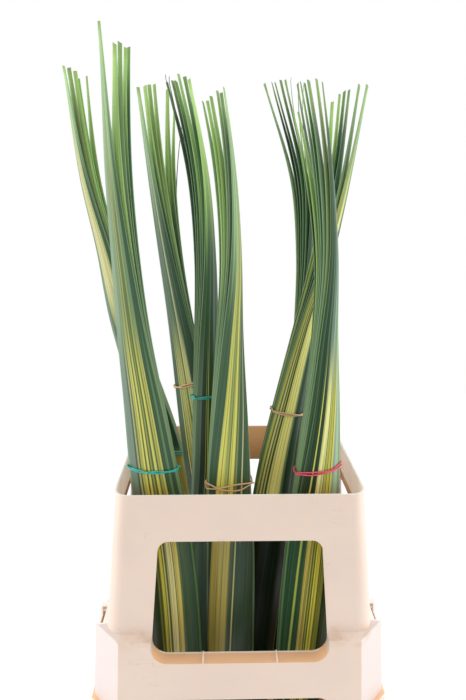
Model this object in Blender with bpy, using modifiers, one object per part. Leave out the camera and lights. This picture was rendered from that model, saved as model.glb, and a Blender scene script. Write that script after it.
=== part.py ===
"""Bunches of cut, variegated screw pine leaves that stand in a flower bucket with a windowed collar.

Metres, +Z up. The origin is at the middle of the bucket's underside, +X is to the right of the broad
front, and the front faces -Y. Run with: blender --background --python part.py
"""
import bmesh
import bpy
from math import cos, hypot, pi, radians, sin, sqrt
from mathutils import Matrix, Vector

# The clearance where one piece stands on another
SEAT_GAP = 0.0003

# Bucket
WALL = 0.0028
SEAT_Z = 0.1737
RIM_OUTER = (0.2005, 0.1530)
RIM_INNER = (0.1915, 0.1440)
RIM_LIP_Z = 0.1580
SHOULDER_Z = 0.1590
BUCKET_FOOT = (0.1690, 0.1215)
BUCKET_TOP_CHAMFER = 0.036
BUCKET_FOOT_RADIUS = 0.030

# Collar
COLLAR_WALL = 0.0026
RIM_Z = 0.4740
RIM_HALF = (0.1580, 0.1115)
RIM_RADIUS = 0.0200
LEDGE_Z = 0.2850
NECK_FOOT_HALF = (0.1750, 0.1275)
NECK_FOOT_RADIUS = 0.0240
LEDGE_HALF = (0.1900, 0.1425)
LEDGE_CHAMFER = 0.0360
SKIRT_HALF = (0.1965, 0.1490)
SKIRT_CHAMFER = 0.0370
TONGUE_HALF = (0.1905, 0.1430)
TONGUE_DEPTH = 0.0120
CORNER_POINTS = 5

# Windows: half widths at the top and at the bottom, on the broad sides and on the narrow sides
WINDOW_TOP_Z = 0.4130
WINDOW_SILL_Z = 0.2540
WINDOW_BROAD = (0.1030, 0.1155)
WINDOW_NARROW = (0.0565, 0.0680)
WINDOW_TOP_RADIUS = 0.0130
WINDOW_SILL_RADIUS = 0.0230
WINDOW_TOP_SEGMENTS = 4
WINDOW_SILL_SEGMENTS = 5
LOWER_WINDOW_TOP_Z = 0.2005
LOWER_WINDOW_SILL_Z = 0.1250
RIB_OFFSET_BROAD = 0.0475
RIB_OFFSET_NARROW = 0.0250
RIB_WIDTH = 0.0020
RIB_HEIGHT = 0.0025
RIB_ROOT = 0.0010
RIB_SHIFT = 0.0008
TROUGH_INSET = 0.0006
CUT_REACH = 0.25

# Low places at the ends of the ledge: their span in depth, how far in they go, and how far down
LEDGE_NOTCH_Y = (0.0730, 0.1060)
LEDGE_NOTCH_DEPTH = 0.0090
LEDGE_NOTCH_DROP = 0.0150
LEDGE_NOTCH_CLEAR = 0.0100

# Leaves
LEAF_THICKNESS = 0.0008
LEAF_FOOT_Z = WALL + SEAT_GAP
LEAF_SPANS = 11
LEAF_SPAN_POWER = 0.85
FOLD_ACROSS = (-1.0, -0.5, 0.0, 0.5, 1.0)
FOLD_RATIO = 0.58
FOLD_LOSS = 0.60
FOLD_POWER = 2.1
KEEL_DIP = 0.10
FOLD_MIDDLE = 0.4
KEEL_HALF = 0.4
STACK_PITCH = 0.0021
STACK_PITCH_TOP = 0.0040
STACK_SPREAD_Z = (0.60, 0.95)
TURN_Z = (0.34, 0.82)
TIP_TURN_POWER = 4
FAN_START_Z = 0.56
FAN_POWER = 2.6
TAPER_POWER = 2.6
TAPER_EASE = 1.5
FOOT_NARROWING = 0.26
FOOT_END = 0.45

# Where the middle of each bunch is, at these heights
PATH_Z = (0.0, 0.19, 0.38, 0.475, 0.57, 0.665, 0.76, 0.855, 0.97)
DEPTH_Z = (0.0, 0.475, 1.0)

# Each bunch: middle across (at PATH_Z), middle in depth (at DEPTH_Z), leaf width at the foot, the way the
# bunch faces at its foot and at its top in degrees to the right, and its leaves from front to back, each
# with its tip's place across, its tip's height, its tip's width and its further turn at the tip in degrees
BUNCHES = {
    "a": {
        "across": (-0.0862, -0.089, -0.099, -0.111, -0.120, -0.129, -0.134, -0.136, -0.133),
        "depth": (-0.072, -0.079, -0.095),
        "width": 0.080,
        "facing": (-4, -38),
        "leaves": ((-0.146, 0.998, 0.0035, 3), (-0.132, 0.979, 0.0055, -3), (-0.127, 0.981, 0.0055, 3),
                   (-0.122, 0.977, 0.0040, -3), (-0.119, 0.978, 0.0040, 3)),
    },
    "b": {
        "across": (-0.045, -0.074, -0.106, -0.119, -0.143, -0.170, -0.188, -0.209, -0.226),
        "depth": (0.048, 0.052, 0.085),
        "width": 0.078,
        "facing": (-5, -40),
        "leaves": ((-0.231, 0.997, 0.0050, -3), (-0.225, 0.995, 0.0050, 3), (-0.218, 0.992, 0.0060, -3),
                   (-0.215, 0.983, 0.0050, 3), (-0.204, 0.987, 0.0030, -3)),
    },
    "c": {
        "across": (0.005, -0.014, -0.039, -0.054, -0.067, -0.080, -0.093, -0.104, -0.115),
        "depth": (0.006, 0.008, 0.020),
        "width": 0.068,
        "facing": (-5, -42),
        "leaves": ((-0.125, 0.959, 0.0050, 3), (-0.117, 0.961, 0.0060, -3), (-0.112, 0.963, 0.0060, 3),
                   (-0.106, 0.964, 0.0050, -3), (-0.090, 0.959, 0.0050, 3), (-0.082, 0.936, 0.0030, -3)),
    },
    "d": {
        "across": (-0.048, -0.044, -0.040, -0.038, -0.039, -0.040, -0.041, -0.048, -0.070),
        "depth": (-0.030, -0.030, -0.045),
        "width": 0.062,
        "facing": (5, 52),
        "leaves": ((-0.059, 0.956, 0.0040, 3), (-0.064, 0.959, 0.0050, -3), (-0.071, 0.962, 0.0040, 3),
                   (-0.074, 0.955, 0.0050, -3), (-0.078, 0.956, 0.0050, 3), (-0.085, 0.955, 0.0030, -3)),
    },
    "e": {
        "across": (-0.009, -0.012, -0.012, -0.013, -0.012, -0.011, -0.010, -0.016, -0.032),
        "depth": (-0.074, -0.077, -0.075),
        "width": 0.072,
        "facing": (-6, 56),
        "leaves": ((-0.020, 0.941, 0.0030, 3), (-0.023, 0.937, 0.0050, -3), (-0.027, 0.939, 0.0050, 3),
                   (-0.034, 0.934, 0.0050, -3), (-0.038, 0.930, 0.0055, 3), (-0.043, 0.929, 0.0030, -3)),
    },
    "f": {
        "across": (0.019, 0.029, 0.046, 0.056, 0.071, 0.088, 0.107, 0.121, 0.132),
        "depth": (-0.030, -0.030, -0.012),
        "width": 0.067,
        "facing": (8, 48),
        "leaves": ((0.149, 0.957, 0.0050, 3), (0.140, 0.958, 0.0040, -3), (0.129, 0.953, 0.0050, 3),
                   (0.124, 0.952, 0.0050, -3), (0.119, 0.949, 0.0050, 3), (0.111, 0.941, 0.0060, -3)),
    },
    "g": {
        "across": (0.084, 0.092, 0.099, 0.103, 0.105, 0.104, 0.101, 0.089, 0.068),
        "depth": (-0.072, -0.077, -0.084),
        "width": 0.078,
        "facing": (6, 56),
        "leaves": ((0.084, 0.945, 0.0030, 3), (0.078, 0.949, 0.0050, -3), (0.070, 0.948, 0.0080, 3),
                   (0.066, 0.946, 0.0040, -3), (0.062, 0.947, 0.0030, 3), (0.061, 0.918, 0.0040, -3),
                   (0.055, 0.920, 0.0030, 3)),
    },
    "h": {
        "across": (0.0865, 0.094, 0.101, 0.103, 0.102, 0.101, 0.098, 0.088, 0.055),
        "depth": (0.050, 0.056, 0.076),
        "width": 0.064,
        "facing": (5, 58),
        "leaves": ((0.078, 0.976, 0.0035, -3), (0.062, 0.981, 0.0050, 3), (0.056, 0.981, 0.0060, -3),
                   (0.049, 0.978, 0.0040, 3), (0.045, 0.978, 0.0030, -3), (0.035, 0.978, 0.0050, 3)),
    },
}

# Rubber bands: height of each band's middle, its rise to the right in metres for each metre across, its
# colour, and where round the bunch its two turns cross, in radians
BAND_RADIUS = 0.0011
BAND_CLEARANCE = 0.0011
BAND_LIFT = 0.0026
BAND_WAVE = 0.0022
BAND_STEPS = 22
BAND_CORNER_POINTS = 12
TEAL = (0.05, 0.42, 0.38)
TAN = (0.72, 0.52, 0.32)
PINK = (0.72, 0.10, 0.18)
BANDS = {
    "a": (0.494, 0.02, TEAL, 2.36),
    "b": (0.460, -0.10, TEAL, 2.2),
    "c": (0.580, 0.35, TAN, 2.0),
    "d": (0.576, 0.00, TEAL, 1.57),
    "e": (0.470, 0.02, TAN, 0.78),
    "f": (0.550, -0.25, TAN, 0.0),
    "g": (0.492, 0.06, PINK, 1.57),
    "h": (0.500, 0.00, TAN, 2.0),
}

CREAM = (0.83, 0.68, 0.58)
LEAF_GREEN = (0.10, 0.22, 0.08)

PART_COLLECTION = "screw_pine_bucket"
CUTTER_COLLECTION = "cutters"


def clear_scene():
    """Remove every object the file opened with."""
    for item in list(bpy.data.objects):
        bpy.data.objects.remove(item, do_unlink=True)


def collection(name):
    """The collection of that name, made if it isn't there."""
    found = bpy.data.collections.get(name)
    if found is None:
        found = bpy.data.collections.new(name)
        bpy.context.scene.collection.children.link(found)
    return found


def material(name, colour, roughness):
    """A Principled material of one colour."""
    made = bpy.data.materials.new(name)
    made.use_nodes = True
    shader = made.node_tree.nodes["Principled BSDF"]
    shader.inputs["Base Color"].default_value = (*colour, 1.0)
    shader.inputs["Roughness"].default_value = roughness
    return made


def object_from(bm, name, group, surface=None):
    """Turn a bmesh into a named object in a collection."""
    mesh = bpy.data.meshes.new(name)
    bm.to_mesh(mesh)
    bm.free()
    made = bpy.data.objects.new(name, mesh)
    collection(group).objects.link(made)
    if surface is not None:
        mesh.materials.append(surface)
    return made


def as_cutter(item):
    """Mark an object as a tool that shapes others and isn't a part."""
    item.hide_render = True
    item.display_type = "WIRE"
    return item


def smooth_step(value):
    """0 below 0, 1 above 1, and a smooth rise between."""
    value = min(max(value, 0.0), 1.0)
    return value * value * (3.0 - 2.0 * value)


def smooth_curve(xs, ys, x):
    """The value at x of a smooth curve through the given points."""
    last = len(xs) - 2
    i = 0
    while i < last and x > xs[i + 1]:
        i += 1

    def slope(j):
        low, high = max(j - 1, 0), min(j + 1, len(xs) - 1)
        return (ys[high] - ys[low]) / (xs[high] - xs[low])

    span = xs[i + 1] - xs[i]
    s = (x - xs[i]) / span
    start = ys[i] * (1 + 2 * s) * (1 - s) ** 2 + slope(i) * span * s * (1 - s) ** 2
    end = ys[i + 1] * s * s * (3 - 2 * s) + slope(i + 1) * span * s * s * (s - 1)
    return start + end


def corner_ring(half, z, radius, chamfered):
    """A closed outline at one height: a rectangle whose corners are round or cut straight across."""
    points = []
    for quarter in range(4):
        sign_x = 1 if quarter in (0, 3) else -1
        sign_y = 1 if quarter in (0, 1) else -1
        for step in range(CORNER_POINTS):
            part = step / (CORNER_POINTS - 1)
            if quarter in (1, 3):
                part = 1 - part
            if chamfered:
                out_x, out_y = 1 - part, part
            else:
                out_x, out_y = cos(part * pi / 2), sin(part * pi / 2)
            points.append(Vector((sign_x * (half[0] - radius + radius * out_x),
                                  sign_y * (half[1] - radius + radius * out_y), z)))
    return points


def loft(bm, rings):
    """Join each outline to the next with a band of faces, and give back the last outline's vertices."""
    rows = [[bm.verts.new(point) for point in ring] for ring in rings]
    for upper, lower in zip(rows, rows[1:]):
        for i in range(len(upper)):
            j = (i + 1) % len(upper)
            bm.faces.new((upper[i], lower[i], lower[j], upper[j]))
    return rows[-1]


def thicken(item, thickness, offset):
    """Give an open surface its wall."""
    wall = item.modifiers.new("wall", "SOLIDIFY")
    wall.thickness = thickness
    wall.offset = offset
    wall.use_even_offset = True


def window_prism(name, half_top, half_sill, z_top, z_sill, radius_top, radius_sill, reach, along_x):
    """A prism with a window's outline and round corners, centred on the origin and lying across the part."""
    bm = bmesh.new()
    bmesh.ops.create_cube(bm, size=2.0)
    for vert in bm.verts:
        half = half_top if vert.co.z > 0 else half_sill
        z = z_top if vert.co.z > 0 else z_sill
        vert.co = Vector((vert.co.x * half, vert.co.y * reach, z))

    def lengthwise(top):
        middle = (z_top + z_sill) / 2
        return [edge for edge in bm.edges
                if abs(edge.verts[0].co.y - edge.verts[1].co.y) > reach
                and (edge.verts[0].co.z > middle) == top]

    if radius_top > 0:
        bmesh.ops.bevel(bm, geom=lengthwise(True), offset=radius_top, segments=WINDOW_TOP_SEGMENTS,
                        profile=0.5, affect="EDGES")
    if radius_sill > 0:
        bmesh.ops.bevel(bm, geom=lengthwise(False), offset=radius_sill, segments=WINDOW_SILL_SEGMENTS,
                        profile=0.5, affect="EDGES")
    if along_x:
        bmesh.ops.rotate(bm, verts=bm.verts, matrix=Matrix.Rotation(pi / 2, 3, "Z"))
    return as_cutter(object_from(bm, name, CUTTER_COLLECTION))


def box(name, low, high):
    """A box between two corners."""
    bm = bmesh.new()
    bmesh.ops.create_cube(bm, size=1.0)
    low, high = Vector(low), Vector(high)
    for vert in bm.verts:
        vert.co = (low + high) / 2 + Vector(a * b for a, b in zip(vert.co, high - low))
    return as_cutter(object_from(bm, name, CUTTER_COLLECTION))


def boolean(item, tool, operation):
    """Cut, or join, one object with another."""
    step = item.modifiers.new(tool.name, "BOOLEAN")
    step.operation = operation
    step.solver = "EXACT"
    step.object = tool


def lower_windows():
    """The openings that run through the skirt's foot and the bucket's wall."""
    tools = []
    for name, half, along_x in (("lower_window_broad", WINDOW_BROAD[1], False),
                                ("lower_window_narrow", WINDOW_NARROW[1], True)):
        tools.append(window_prism(name, half, half, LOWER_WINDOW_TOP_Z, LOWER_WINDOW_SILL_Z,
                                  WINDOW_TOP_RADIUS, WINDOW_SILL_RADIUS, CUT_REACH, along_x))
    return tools


def make_bucket(windows):
    """The lower container, with a turned over lip, and a low place in the middle of each wall."""
    bm = bmesh.new()
    last = loft(bm, [
        corner_ring(RIM_OUTER, RIM_LIP_Z, BUCKET_TOP_CHAMFER, True),
        corner_ring(RIM_OUTER, SEAT_Z, BUCKET_TOP_CHAMFER, True),
        corner_ring(RIM_INNER, SEAT_Z, BUCKET_TOP_CHAMFER, True),
        corner_ring(RIM_INNER, SHOULDER_Z, BUCKET_TOP_CHAMFER, True),
        corner_ring(BUCKET_FOOT, WALL, BUCKET_FOOT_RADIUS, False),
    ])
    bm.faces.new(list(reversed(last)))
    bucket = object_from(bm, "bucket", PART_COLLECTION, material("bucket_cream", CREAM, 0.45))
    thicken(bucket, WALL, 1.0)
    for tool in windows:
        boolean(bucket, tool, "DIFFERENCE")
    return bucket


def make_collar(windows):
    """The neck, the ledge and the skirt as one wall, with a window and a sill in each side."""
    bm = bmesh.new()
    loft(bm, [
        corner_ring(RIM_HALF, RIM_Z, RIM_RADIUS, False),
        corner_ring(NECK_FOOT_HALF, LEDGE_Z, NECK_FOOT_RADIUS, False),
        corner_ring(LEDGE_HALF, LEDGE_Z, LEDGE_CHAMFER, True),
        corner_ring(SKIRT_HALF, SEAT_Z + SEAT_GAP, SKIRT_CHAMFER, True),
        corner_ring(TONGUE_HALF, SEAT_Z + SEAT_GAP, SKIRT_CHAMFER, True),
        corner_ring(TONGUE_HALF, SEAT_Z - TONGUE_DEPTH, SKIRT_CHAMFER, True),
    ])
    collar = object_from(bm, "collar", PART_COLLECTION, material("collar_cream", CREAM, 0.45))
    thicken(collar, COLLAR_WALL, -1.0)
    add_sills(collar)
    for tool in windows:
        boolean(collar, tool, "DIFFERENCE")
    add_ribs(collar)
    for side in (-1, 1):
        for end in (-1, 1):
            near, far = sorted((end * LEDGE_NOTCH_Y[0], end * LEDGE_NOTCH_Y[1]))
            inner, outer = sorted((side * (LEDGE_HALF[0] - LEDGE_NOTCH_DEPTH), side * CUT_REACH))
            notch = box("ledge_notch_%s%s" % ("rl"[side < 0], "bf"[end < 0]),
                        (inner, near, LEDGE_Z - LEDGE_NOTCH_DROP), (outer, far, LEDGE_Z + LEDGE_NOTCH_CLEAR))
            boolean(collar, notch, "DIFFERENCE")
    return collar


def add_sills(collar):
    """Join a trough to the ledge under each window, then cut the windows through neck, trough and skirt."""
    for name, halves, along_x, inner, outer in (
            ("broad", WINDOW_BROAD, False, NECK_FOOT_HALF[1] - COLLAR_WALL, LEDGE_HALF[1]),
            ("narrow", WINDOW_NARROW, True, NECK_FOOT_HALF[0] - COLLAR_WALL, LEDGE_HALF[0])):
        for side in (-1, 1):
            half = halves[1] + COLLAR_WALL
            trough = window_prism("trough_%s_%s" % (name, "pn"[side < 0]), half, half,
                                  LEDGE_Z - TROUGH_INSET, WINDOW_SILL_Z - COLLAR_WALL,
                                  0.0, WINDOW_SILL_RADIUS + COLLAR_WALL, (outer - inner) / 2, along_x)
            middle = side * (inner + outer - TROUGH_INSET) / 2
            trough.location = (middle, 0, 0) if along_x else (0, middle, 0)
            boolean(collar, trough, "UNION")
        window = window_prism("window_" + name, halves[0], halves[1], WINDOW_TOP_Z, WINDOW_SILL_Z,
                              WINDOW_TOP_RADIUS, WINDOW_SILL_RADIUS, CUT_REACH, along_x)
        boolean(collar, window, "DIFFERENCE")


def add_ribs(collar):
    """Stand two low ribs on each sill."""
    for along_x, offset, inner, outer in (
            (False, RIB_OFFSET_BROAD, NECK_FOOT_HALF[1] - COLLAR_WALL, LEDGE_HALF[1]),
            (True, RIB_OFFSET_NARROW, NECK_FOOT_HALF[0] - COLLAR_WALL, LEDGE_HALF[0])):
        for side in (-1, 1):
            for place in (-offset, offset):
                near, far = sorted((side * (inner + RIB_SHIFT), side * (outer + RIB_SHIFT)))
                low = (near, place - RIB_WIDTH / 2) if along_x else (place - RIB_WIDTH / 2, near)
                high = (far, place + RIB_WIDTH / 2) if along_x else (place + RIB_WIDTH / 2, far)
                name = "rib_%s%s%s" % ("xy"[along_x], "pn"[side < 0], "pn"[place < 0])
                rib = box(name, (*low, WINDOW_SILL_Z - RIB_ROOT), (*high, WINDOW_SILL_Z + RIB_HEIGHT))
                boolean(collar, rib, "UNION")


def leaf_width(bunch, tip_width, rise):
    """A leaf's width at a share of its height: widest near its middle, narrower at its foot and its tip."""
    foot = 1 - FOOT_NARROWING * max(1 - rise / FOOT_END, 0.0) ** 2
    return tip_width + (bunch["width"] * foot - tip_width) * (1 - rise ** TAPER_POWER) ** TAPER_EASE


def fold_shape(t):
    """How far back the blade is bent, from the ridges beside its keel to 1 at its edges."""
    return abs(t) ** FOLD_POWER + KEEL_DIP * max(1 - abs(t) / KEEL_HALF, 0.0)


def bunch_facing(bunch, z):
    """The angle a bunch has turned to the right at a height."""
    low, high = bunch["facing"]
    return radians(low + (high - low) * smooth_step((z - TURN_Z[0]) / (TURN_Z[1] - TURN_Z[0])))


def stack_place(bunch, order, z):
    """How far behind the middle of its bunch a leaf lies, measured square to the leaf."""
    spread = smooth_step((z - STACK_SPREAD_Z[0]) / (STACK_SPREAD_Z[1] - STACK_SPREAD_Z[0]))
    pitch = STACK_PITCH + (STACK_PITCH_TOP - STACK_PITCH) * spread
    return (order - (len(bunch["leaves"]) - 1) / 2) * pitch


def leaf_spine(bunch, order, z):
    """The middle of a leaf at a height, across and in depth, and the way the bunch faces there."""
    tip_x, tip_z = bunch["leaves"][order][:2]
    facing = bunch_facing(bunch, z)
    behind = stack_place(bunch, order, z)
    across = smooth_curve(PATH_Z, bunch["across"], z) - behind * sin(facing)
    depth = smooth_curve(DEPTH_Z, bunch["depth"], z) + behind * cos(facing)
    if z > FAN_START_Z:
        at_tip = smooth_curve(PATH_Z, bunch["across"], tip_z)
        at_tip -= stack_place(bunch, order, tip_z) * sin(bunch_facing(bunch, tip_z))
        across += (tip_x - at_tip) * ((z - FAN_START_Z) / (tip_z - FAN_START_Z)) ** FAN_POWER
    return across, depth, facing


def leaf_point(bunch, order, rise, t):
    """A point on a leaf's front: order counts from the front, rise goes 0 to 1 up it, t -1 to 1 across it."""
    tip_z, tip_width, tip_turn = bunch["leaves"][order][1:]
    z = LEAF_FOOT_Z + rise * (tip_z - LEAF_FOOT_Z)
    across, depth, facing = leaf_spine(bunch, order, z)
    half = leaf_width(bunch, tip_width, rise) / 2
    back = FOLD_RATIO * (1 - FOLD_LOSS * rise) * half * (fold_shape(t) - FOLD_MIDDLE)
    turn = facing + radians(tip_turn) * rise ** TIP_TURN_POWER
    return Vector((across + half * t * cos(turn) - back * sin(turn),
                   depth + half * t * sin(turn) + back * cos(turn), z))


def built_leaf_point(bunch, order, z, t):
    """A point on a leaf as it is built: straight from one row of its grid to the next."""
    tip_z = bunch["leaves"][order][1]
    rise = (z - LEAF_FOOT_Z) / (tip_z - LEAF_FOOT_Z)
    row = int(LEAF_SPANS * rise ** (1 / LEAF_SPAN_POWER))
    low = (row / LEAF_SPANS) ** LEAF_SPAN_POWER
    high = ((row + 1) / LEAF_SPANS) ** LEAF_SPAN_POWER
    part = (rise - low) / (high - low)
    return leaf_point(bunch, order, low, t).lerp(leaf_point(bunch, order, high, t), part)


def make_leaf(name, bunch, order, surface):
    """One blade: a grid bent to its gutter shape, split into triangles, then given its thickness."""
    bm = bmesh.new()
    bmesh.ops.create_grid(bm, x_segments=len(FOLD_ACROSS) - 1, y_segments=LEAF_SPANS, size=1.0)
    for vert in bm.verts:
        rise = ((vert.co.y + 1) / 2) ** LEAF_SPAN_POWER
        vert.co = leaf_point(bunch, order, rise, vert.co.x)
    bmesh.ops.triangulate(bm, faces=bm.faces, quad_method="FIXED")
    leaf = object_from(bm, name, PART_COLLECTION, surface)
    thicken(leaf, LEAF_THICKNESS, 0.0)
    return leaf


def convex_outline(points):
    """The smallest convex outline round a set of points in the plane, anticlockwise."""
    points = sorted(set(points))

    def half(run):
        chain = []
        for p in run:
            while len(chain) > 1:
                (ax, ay), (bx, by) = chain[-2], chain[-1]
                if (bx - ax) * (p[1] - ay) - (by - ay) * (p[0] - ax) > 0:
                    break
                chain.pop()
            chain.append(p)
        return chain[:-1]

    return half(points) + half(list(reversed(points)))


def spaced(outline, count):
    """Points along a closed outline, closer together where it bends."""
    size = len(outline)
    lengths = [hypot(outline[(i + 1) % size][0] - p[0], outline[(i + 1) % size][1] - p[1])
               for i, p in enumerate(outline)]
    weights = [sqrt(length) for length in lengths]
    total = sum(weights)
    made = []
    i, passed = 0, 0.0
    for step in range(count):
        goal = total * step / count
        while passed + weights[i] < goal:
            passed += weights[i]
            i += 1
        part = (goal - passed) / weights[i]
        (ax, ay), (bx, by) = outline[i], outline[(i + 1) % size]
        made.append((ax + (bx - ax) * part, ay + (by - ay) * part))
    return made


def band_outline(bunch, z):
    """The taut path of a band round a bunch at one height: its leaves' outline, moved out by a clearance."""
    clear = BAND_CLEARANCE + LEAF_THICKNESS / 2 + BAND_RADIUS
    points = []
    for order in range(len(bunch["leaves"])):
        for t in FOLD_ACROSS:
            p = built_leaf_point(bunch, order, z, t)
            for step in range(BAND_CORNER_POINTS):
                angle = 2 * pi * step / BAND_CORNER_POINTS
                points.append((p.x + clear * cos(angle), p.y + clear * sin(angle)))
    return spaced(convex_outline(points), BAND_STEPS)


def make_band(letter, bunch):
    """A rubber band: one closed strand that goes round its bunch twice and crosses itself once."""
    height, rise, colour, phase = BANDS[letter]
    level = band_outline(bunch, height)
    middle_x = sum(p[0] for p in level) / BAND_STEPS
    middle_y = sum(p[1] for p in level) / BAND_STEPS
    shape = bpy.data.curves.new("band_" + letter, "CURVE")
    shape.dimensions = "3D"
    shape.bevel_depth = BAND_RADIUS
    shape.bevel_resolution = 0
    strand = shape.splines.new("POLY")
    strand.points.add(2 * BAND_STEPS - 1)
    for step in range(2 * BAND_STEPS):
        swing = pi * step / BAND_STEPS + phase
        z = height + rise * (level[step % BAND_STEPS][0] - middle_x) + BAND_WAVE * cos(swing)
        x, y = band_outline(bunch, z)[step % BAND_STEPS]
        out = BAND_LIFT * max(sin(swing), 0.0) ** 3 / hypot(x - middle_x, y - middle_y)
        strand.points[step].co = (x + out * (x - middle_x), y + out * (y - middle_y), z, 1)
    strand.use_cyclic_u = True
    shape.materials.append(material("band_" + letter, colour, 0.5))
    band = bpy.data.objects.new("band_" + letter, shape)
    collection(PART_COLLECTION).objects.link(band)
    return band


def main():
    """Make the holder, then each bunch with its leaves and its band."""
    clear_scene()
    windows = lower_windows()
    make_bucket(windows)
    make_collar(windows)
    leaf_surface = material("leaf_green", LEAF_GREEN, 0.4)
    for letter, bunch in BUNCHES.items():
        for order in range(len(bunch["leaves"])):
            make_leaf("leaf_%s%d" % (letter, order + 1), bunch, order, leaf_surface)
        make_band(letter, bunch)


main()
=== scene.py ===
"""Bunches of variegated screw pine leaves in a flower bucket with a windowed collar: the finish of every surface.

Metres, +Z up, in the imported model's own frame. The broad front faces -Y.
"""
from math import cos, hypot, pi, radians, sin, sqrt
from random import Random

import bmesh
import bpy
from bpy.props import EnumProperty, FloatProperty, FloatVectorProperty, IntProperty, PointerProperty
from mathutils import Matrix, Vector


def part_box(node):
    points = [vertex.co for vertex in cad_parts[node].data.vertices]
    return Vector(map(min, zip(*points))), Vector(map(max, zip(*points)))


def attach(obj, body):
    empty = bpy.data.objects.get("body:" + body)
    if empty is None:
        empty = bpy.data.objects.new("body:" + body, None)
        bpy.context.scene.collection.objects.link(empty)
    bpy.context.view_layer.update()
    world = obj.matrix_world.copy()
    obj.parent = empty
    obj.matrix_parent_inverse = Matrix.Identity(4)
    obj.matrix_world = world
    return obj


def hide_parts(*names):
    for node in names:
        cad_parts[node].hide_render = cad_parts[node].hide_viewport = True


bl_info = {
    "name": "Bunched screw pine leaves",
    "version": (1, 0, 0),
    "blender": (4, 5, 0),
    "location": "3D View > Sidebar > Leaves",
    "description": "Builds bunches of variegated screw pine leaves, their rubber bands and their flower bucket",
    "category": "Object",
}

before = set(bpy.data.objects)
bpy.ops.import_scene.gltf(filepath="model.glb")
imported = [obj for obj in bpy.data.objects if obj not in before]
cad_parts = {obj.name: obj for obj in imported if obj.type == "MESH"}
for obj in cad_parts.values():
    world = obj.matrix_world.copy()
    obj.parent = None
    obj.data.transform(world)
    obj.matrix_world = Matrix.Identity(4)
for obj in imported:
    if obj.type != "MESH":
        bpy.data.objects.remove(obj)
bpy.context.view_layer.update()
BODY = "root"

# Bucket
BUCKET_WALL = 0.0028
SEAT_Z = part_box("bucket")[1].z
RIM_OUTER = (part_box("bucket")[1].x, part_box("bucket")[1].y)
RIM_LIP = 0.0090
RIM_LIP_Z = 0.1580
SHOULDER_Z = 0.1590
BUCKET_FOOT = (0.1690, 0.1215)
BUCKET_TOP_CHAMFER = 0.036
BUCKET_FOOT_RADIUS = 0.030
FOOT_EDGE = 0.0060

# Collar
COLLAR_WALL = 0.0026
COLLAR_SEAT_Z = SEAT_Z + 0.0003
RIM_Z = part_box("collar")[1].z
RIM_HALF = (0.1580, 0.1115)
RIM_RADIUS = 0.0200
NECK_LINE_DROP = 0.0445
NECK_LINE_STEP = 0.0005
NECK_LINE_HEIGHT = 0.0012
LEDGE_Z = 0.2850
NECK_FOOT_HALF = (0.1750, 0.1275)
NECK_FOOT_RADIUS = 0.0240
LEDGE_HALF = (0.1900, 0.1425)
LEDGE_CHAMFER = 0.0360
SKIRT_HALF = (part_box("collar")[1].x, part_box("collar")[1].y)
SKIRT_CHAMFER = 0.0370
TONGUE_HALF = (0.1905, 0.1430)
TONGUE_DEPTH = 0.0120
CORNER_POINTS = 13

# Plastic: its noises, how far its marks reach, where their noises show them, how strong they are, and their colours
CLOUD_SCALE = 9.0
CLOUD_PLACES = (0.35, 0.75)
CLOUD_SHARE = 0.6
CLOUD_TONE = 0.92
BLOTCH_SCALE = 38.0
ORANGE_BLOTCHES = (0.45, 0.80, 0.08)
GRAIN_SCALE = 900.0
SPECK_SCALE = 70.0
RARE_SCALE = 31.0
SPECK_SIZE = (0.03, 0.07)
SPECK_PLACES = (0.58, 0.66)
SPECK_SHARE = 0.6
SPECK_COLOUR = (0.30, 0.22, 0.15)
SCRATCH_TURN = (0.3, 0.5, 0.2)
SCRATCH_STRETCH = (4.0, 4.0, 22.0)
SCRATCH_SCALE = 3.0
SCRATCH_WIDTH = (0.001, 0.006)
SCRATCH_AREA_SCALE = 14.0
SCRATCH_PLACES = (0.60, 0.70)
SCRATCH_SHARE = 0.40
SCRATCH_COLOUR = (0.36, 0.29, 0.22)
DIRT_REACH = 0.014
DIRT_PLACES = (0.42, 0.68)
DIRT_SHARE = 0.45
DIRT_COLOUR = (0.62, 0.40, 0.24)
COAT_WEIGHT = 0.30
COAT_ROUGHNESS = 0.35
PLASTIC_ROUGHNESS = (0.42, 0.12)
SOFT_STEP = 0.001

# The plastics of a shell's faces, in the order of their material slots. The inside plastic's orange is painted
# backshine and shade, and the edge plastic's pale colour a painted highlight. The inner ones also get a painted glow,
# which stands in for light coming through the plastic: its colour, and the heights between which it rises
PLASTICS = ("outside", "inside", "edge", "narrow")
OUTSIDE, INSIDE, HIGHLIT_EDGE, NARROW = range(len(PLASTICS))
PAINTED_GLOWS = {"inside": ((0.120, 0.046, 0.018), (0.40, 0.45)), "narrow": ((0.34, 0.27, 0.21), (0.24, 0.26))}

# The collar's ends and chamfers get a painted sheen from the side lights, paler and cooler than its broad sides
END_SHEEN_TONE = (0.76, 0.66, 0.63)
END_SOFTNESS = 0.002
END_SLOPE = (SKIRT_HALF[0] - SKIRT_CHAMFER - LEDGE_HALF[0] + LEDGE_CHAMFER) / (LEDGE_Z - COLLAR_SEAT_Z)
NECK_END_WIDTH = 0.004
NECK_SLOPE = (NECK_FOOT_HALF[0] - RIM_HALF[0]) / (RIM_Z - LEDGE_Z)

# The moulding's edges and smooth shading
BEVEL_SEGMENTS = 2
BEVEL_ANGLE = radians(35)
SHARP_ANGLE = radians(40)

# A face's normal past these is upright at an end, level, leaning back, or facing in
UPRIGHT_END = 0.9
LEVEL = 0.7
LEANING = 0.2
FACING_IN = 0.3

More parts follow.
